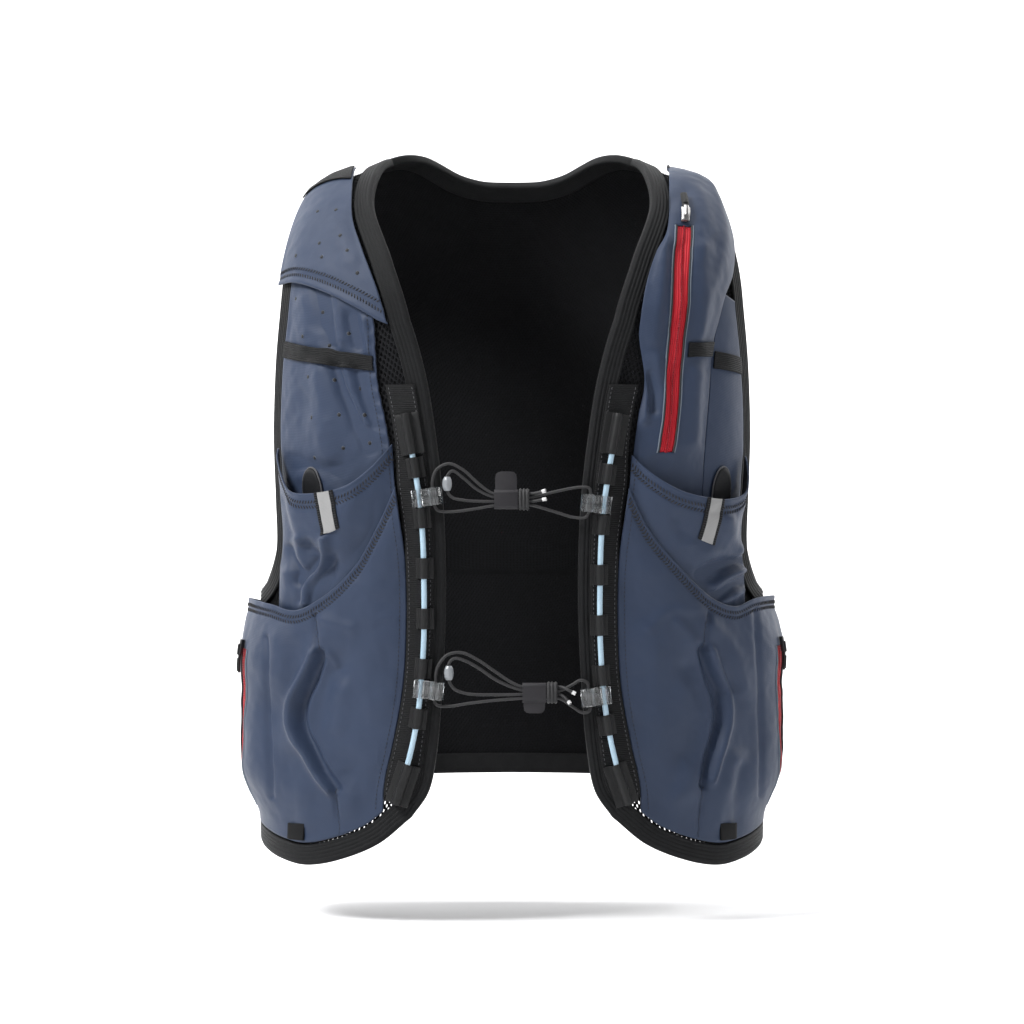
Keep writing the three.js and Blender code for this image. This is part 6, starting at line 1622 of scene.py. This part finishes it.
# small solid parts: softened copies of the CAD nodes
def softCopy(name, node, material, slot, width=0.35, segments=3, angle=30, moved=(0, 0, 0)):
    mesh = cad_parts[node].data.copy()
    builder = bmesh.new()
    builder.from_mesh(mesh)
    bmesh.ops.remove_doubles(builder, verts=builder.verts, dist=1e-6)
    bmesh.ops.dissolve_limit(builder, angle_limit=math.radians(1), verts=builder.verts, edges=builder.edges)
    bmesh.ops.translate(builder, verts=builder.verts, vec=Vector(moved) * mm)
    builder.to_mesh(mesh)
    builder.free()
    mesh.materials.clear()
    mesh.materials.append(material)
    mesh.polygons.foreach_set("material_index", [0] * len(mesh.polygons))
    mesh.polygons.foreach_set("use_smooth", [True] * len(mesh.polygons))
    piece = bpy.data.objects.new(name, mesh)
    bpy.context.scene.collection.objects.link(piece)
    bevel = piece.modifiers.new("soft edges", "BEVEL")
    bevel.width, bevel.segments, bevel.limit_method = width * mm, segments, "ANGLE"
    bevel.angle_limit = math.radians(angle)
    settle(piece, slot, node)


for label in ("left", "right"):
    for level in ("upper", "lower"):
        softCopy(f"rail_clip_{level}_{label}", f"clip_{level}_{label}", clearPlastic, "clear_plastic", 0.7, 4)
    softCopy("hem_loop_" + label, "hem_tab_" + label, elasticTape, "black_tape", 0.5)
    out = 2.5 if label == "left" else -2.5
    softCopy("shoulder_loop_" + label, "shoulder_tab_" + label, elasticTape, "black_tape", 0.6,
             moved=(out, -3, 2.5))
for level in ("upper", "lower"):
    softCopy("cord_sleeve_" + level, "cord_keeper_" + level, keeperCloth, "keeper_cloth", 0.35, 2)
    softCopy("cord_knot_" + level, "cord_wrap_" + level, cordBraid, "cord_elastic", 0.6, 3)
    softCopy("cord_ball_" + level, "cord_bead_" + level, beadPlastic, "clear_plastic", 0.6, 4, angle=12)
print("small parts made")

# soft studio light, pale floor and backdrop
studio = {"floor": -0.495, "wall": 4.4, "bend": 1.5, "half": 9.0}
profile = [(-5.0, 0.0), (studio["wall"] - studio["bend"], 0.0)]
for step in range(1, 13):
    angle = step / 12 * math.pi / 2
    profile.append((studio["wall"] - studio["bend"] + studio["bend"] * math.sin(angle),
                    studio["bend"] - studio["bend"] * math.cos(angle)))
profile.append((studio["wall"], 6.0))
sides = (-studio["half"] / mm, studio["half"] / mm)
corners = [(x, y / mm, (z + studio["floor"]) / mm) for y, z in profile for x in sides]
strips = [(2 * i, 2 * i + 1, 2 * i + 3, 2 * i + 2) for i in range(len(profile) - 1)]
paper = grained("pale paper", {
    "dark": (0.86, 0.86, 0.865), "light": (0.88, 0.88, 0.885), "patch": 3, "roughness": 0.9,
    "grain": 400, "grainDepth": 0.02, "gloss": 0.1,
})
finished("studio_floor", corners, strips, [paper])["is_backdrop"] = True


def softBox(name, place, aim, size, power):
    data = bpy.data.lights.new(name, "AREA")
    data.shape, data.size, data.size_y, data.energy = "RECTANGLE", size[0], size[1], power
    made = bpy.data.objects.new(name, data)
    made.location = place
    made.rotation_euler = (Vector(aim) - Vector(place)).to_track_quat("-Z", "Y").to_euler()
    bpy.context.scene.collection.objects.link(made)


lamps = {  # place, point aimed at, size and power
    "key": ((-1.5, -1.0, 1.25), (0, 0, -0.25), (0.7, 0.7), 70),
    "fill": ((1.9, -0.9, 0.5), (0, 0, -0.25), (0.5, 1.0), 9),
    "front": ((0.2, -2.6, 0.9), (0, 0, -0.25), (0.8, 0.8), 4),
    "top": ((0, -0.2, 1.9), (0, 0, -0.3), (1.2, 0.8), 24),
    "behind left": ((-1.5, 1.0, 0.5), (0, 0, -0.2), (0.8, 1.4), 12),
    "behind right": ((1.5, 1.0, 0.5), (0, 0, -0.2), (0.8, 1.4), 12),
    "backdrop": ((0, 1.5, 2.6), (0, 4.4, 0.4), (6, 2), 330),
}
for name, lamp in lamps.items():
    softBox(name, *lamp)
world = bpy.data.worlds.new("studio")
world.use_nodes = True
world.node_tree.nodes["Background"].inputs["Color"].default_value = (0.93, 0.95, 1, 1)
world.node_tree.nodes["Background"].inputs["Strength"].default_value = 0.13
bpy.context.scene.world = world
bpy.context.scene.view_settings.view_transform = "Standard"
print("studio made")

boxes = {"cad": cadBox, "visual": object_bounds()}
{label: [list(corner) for corner in box] for label, box in boxes.items()}
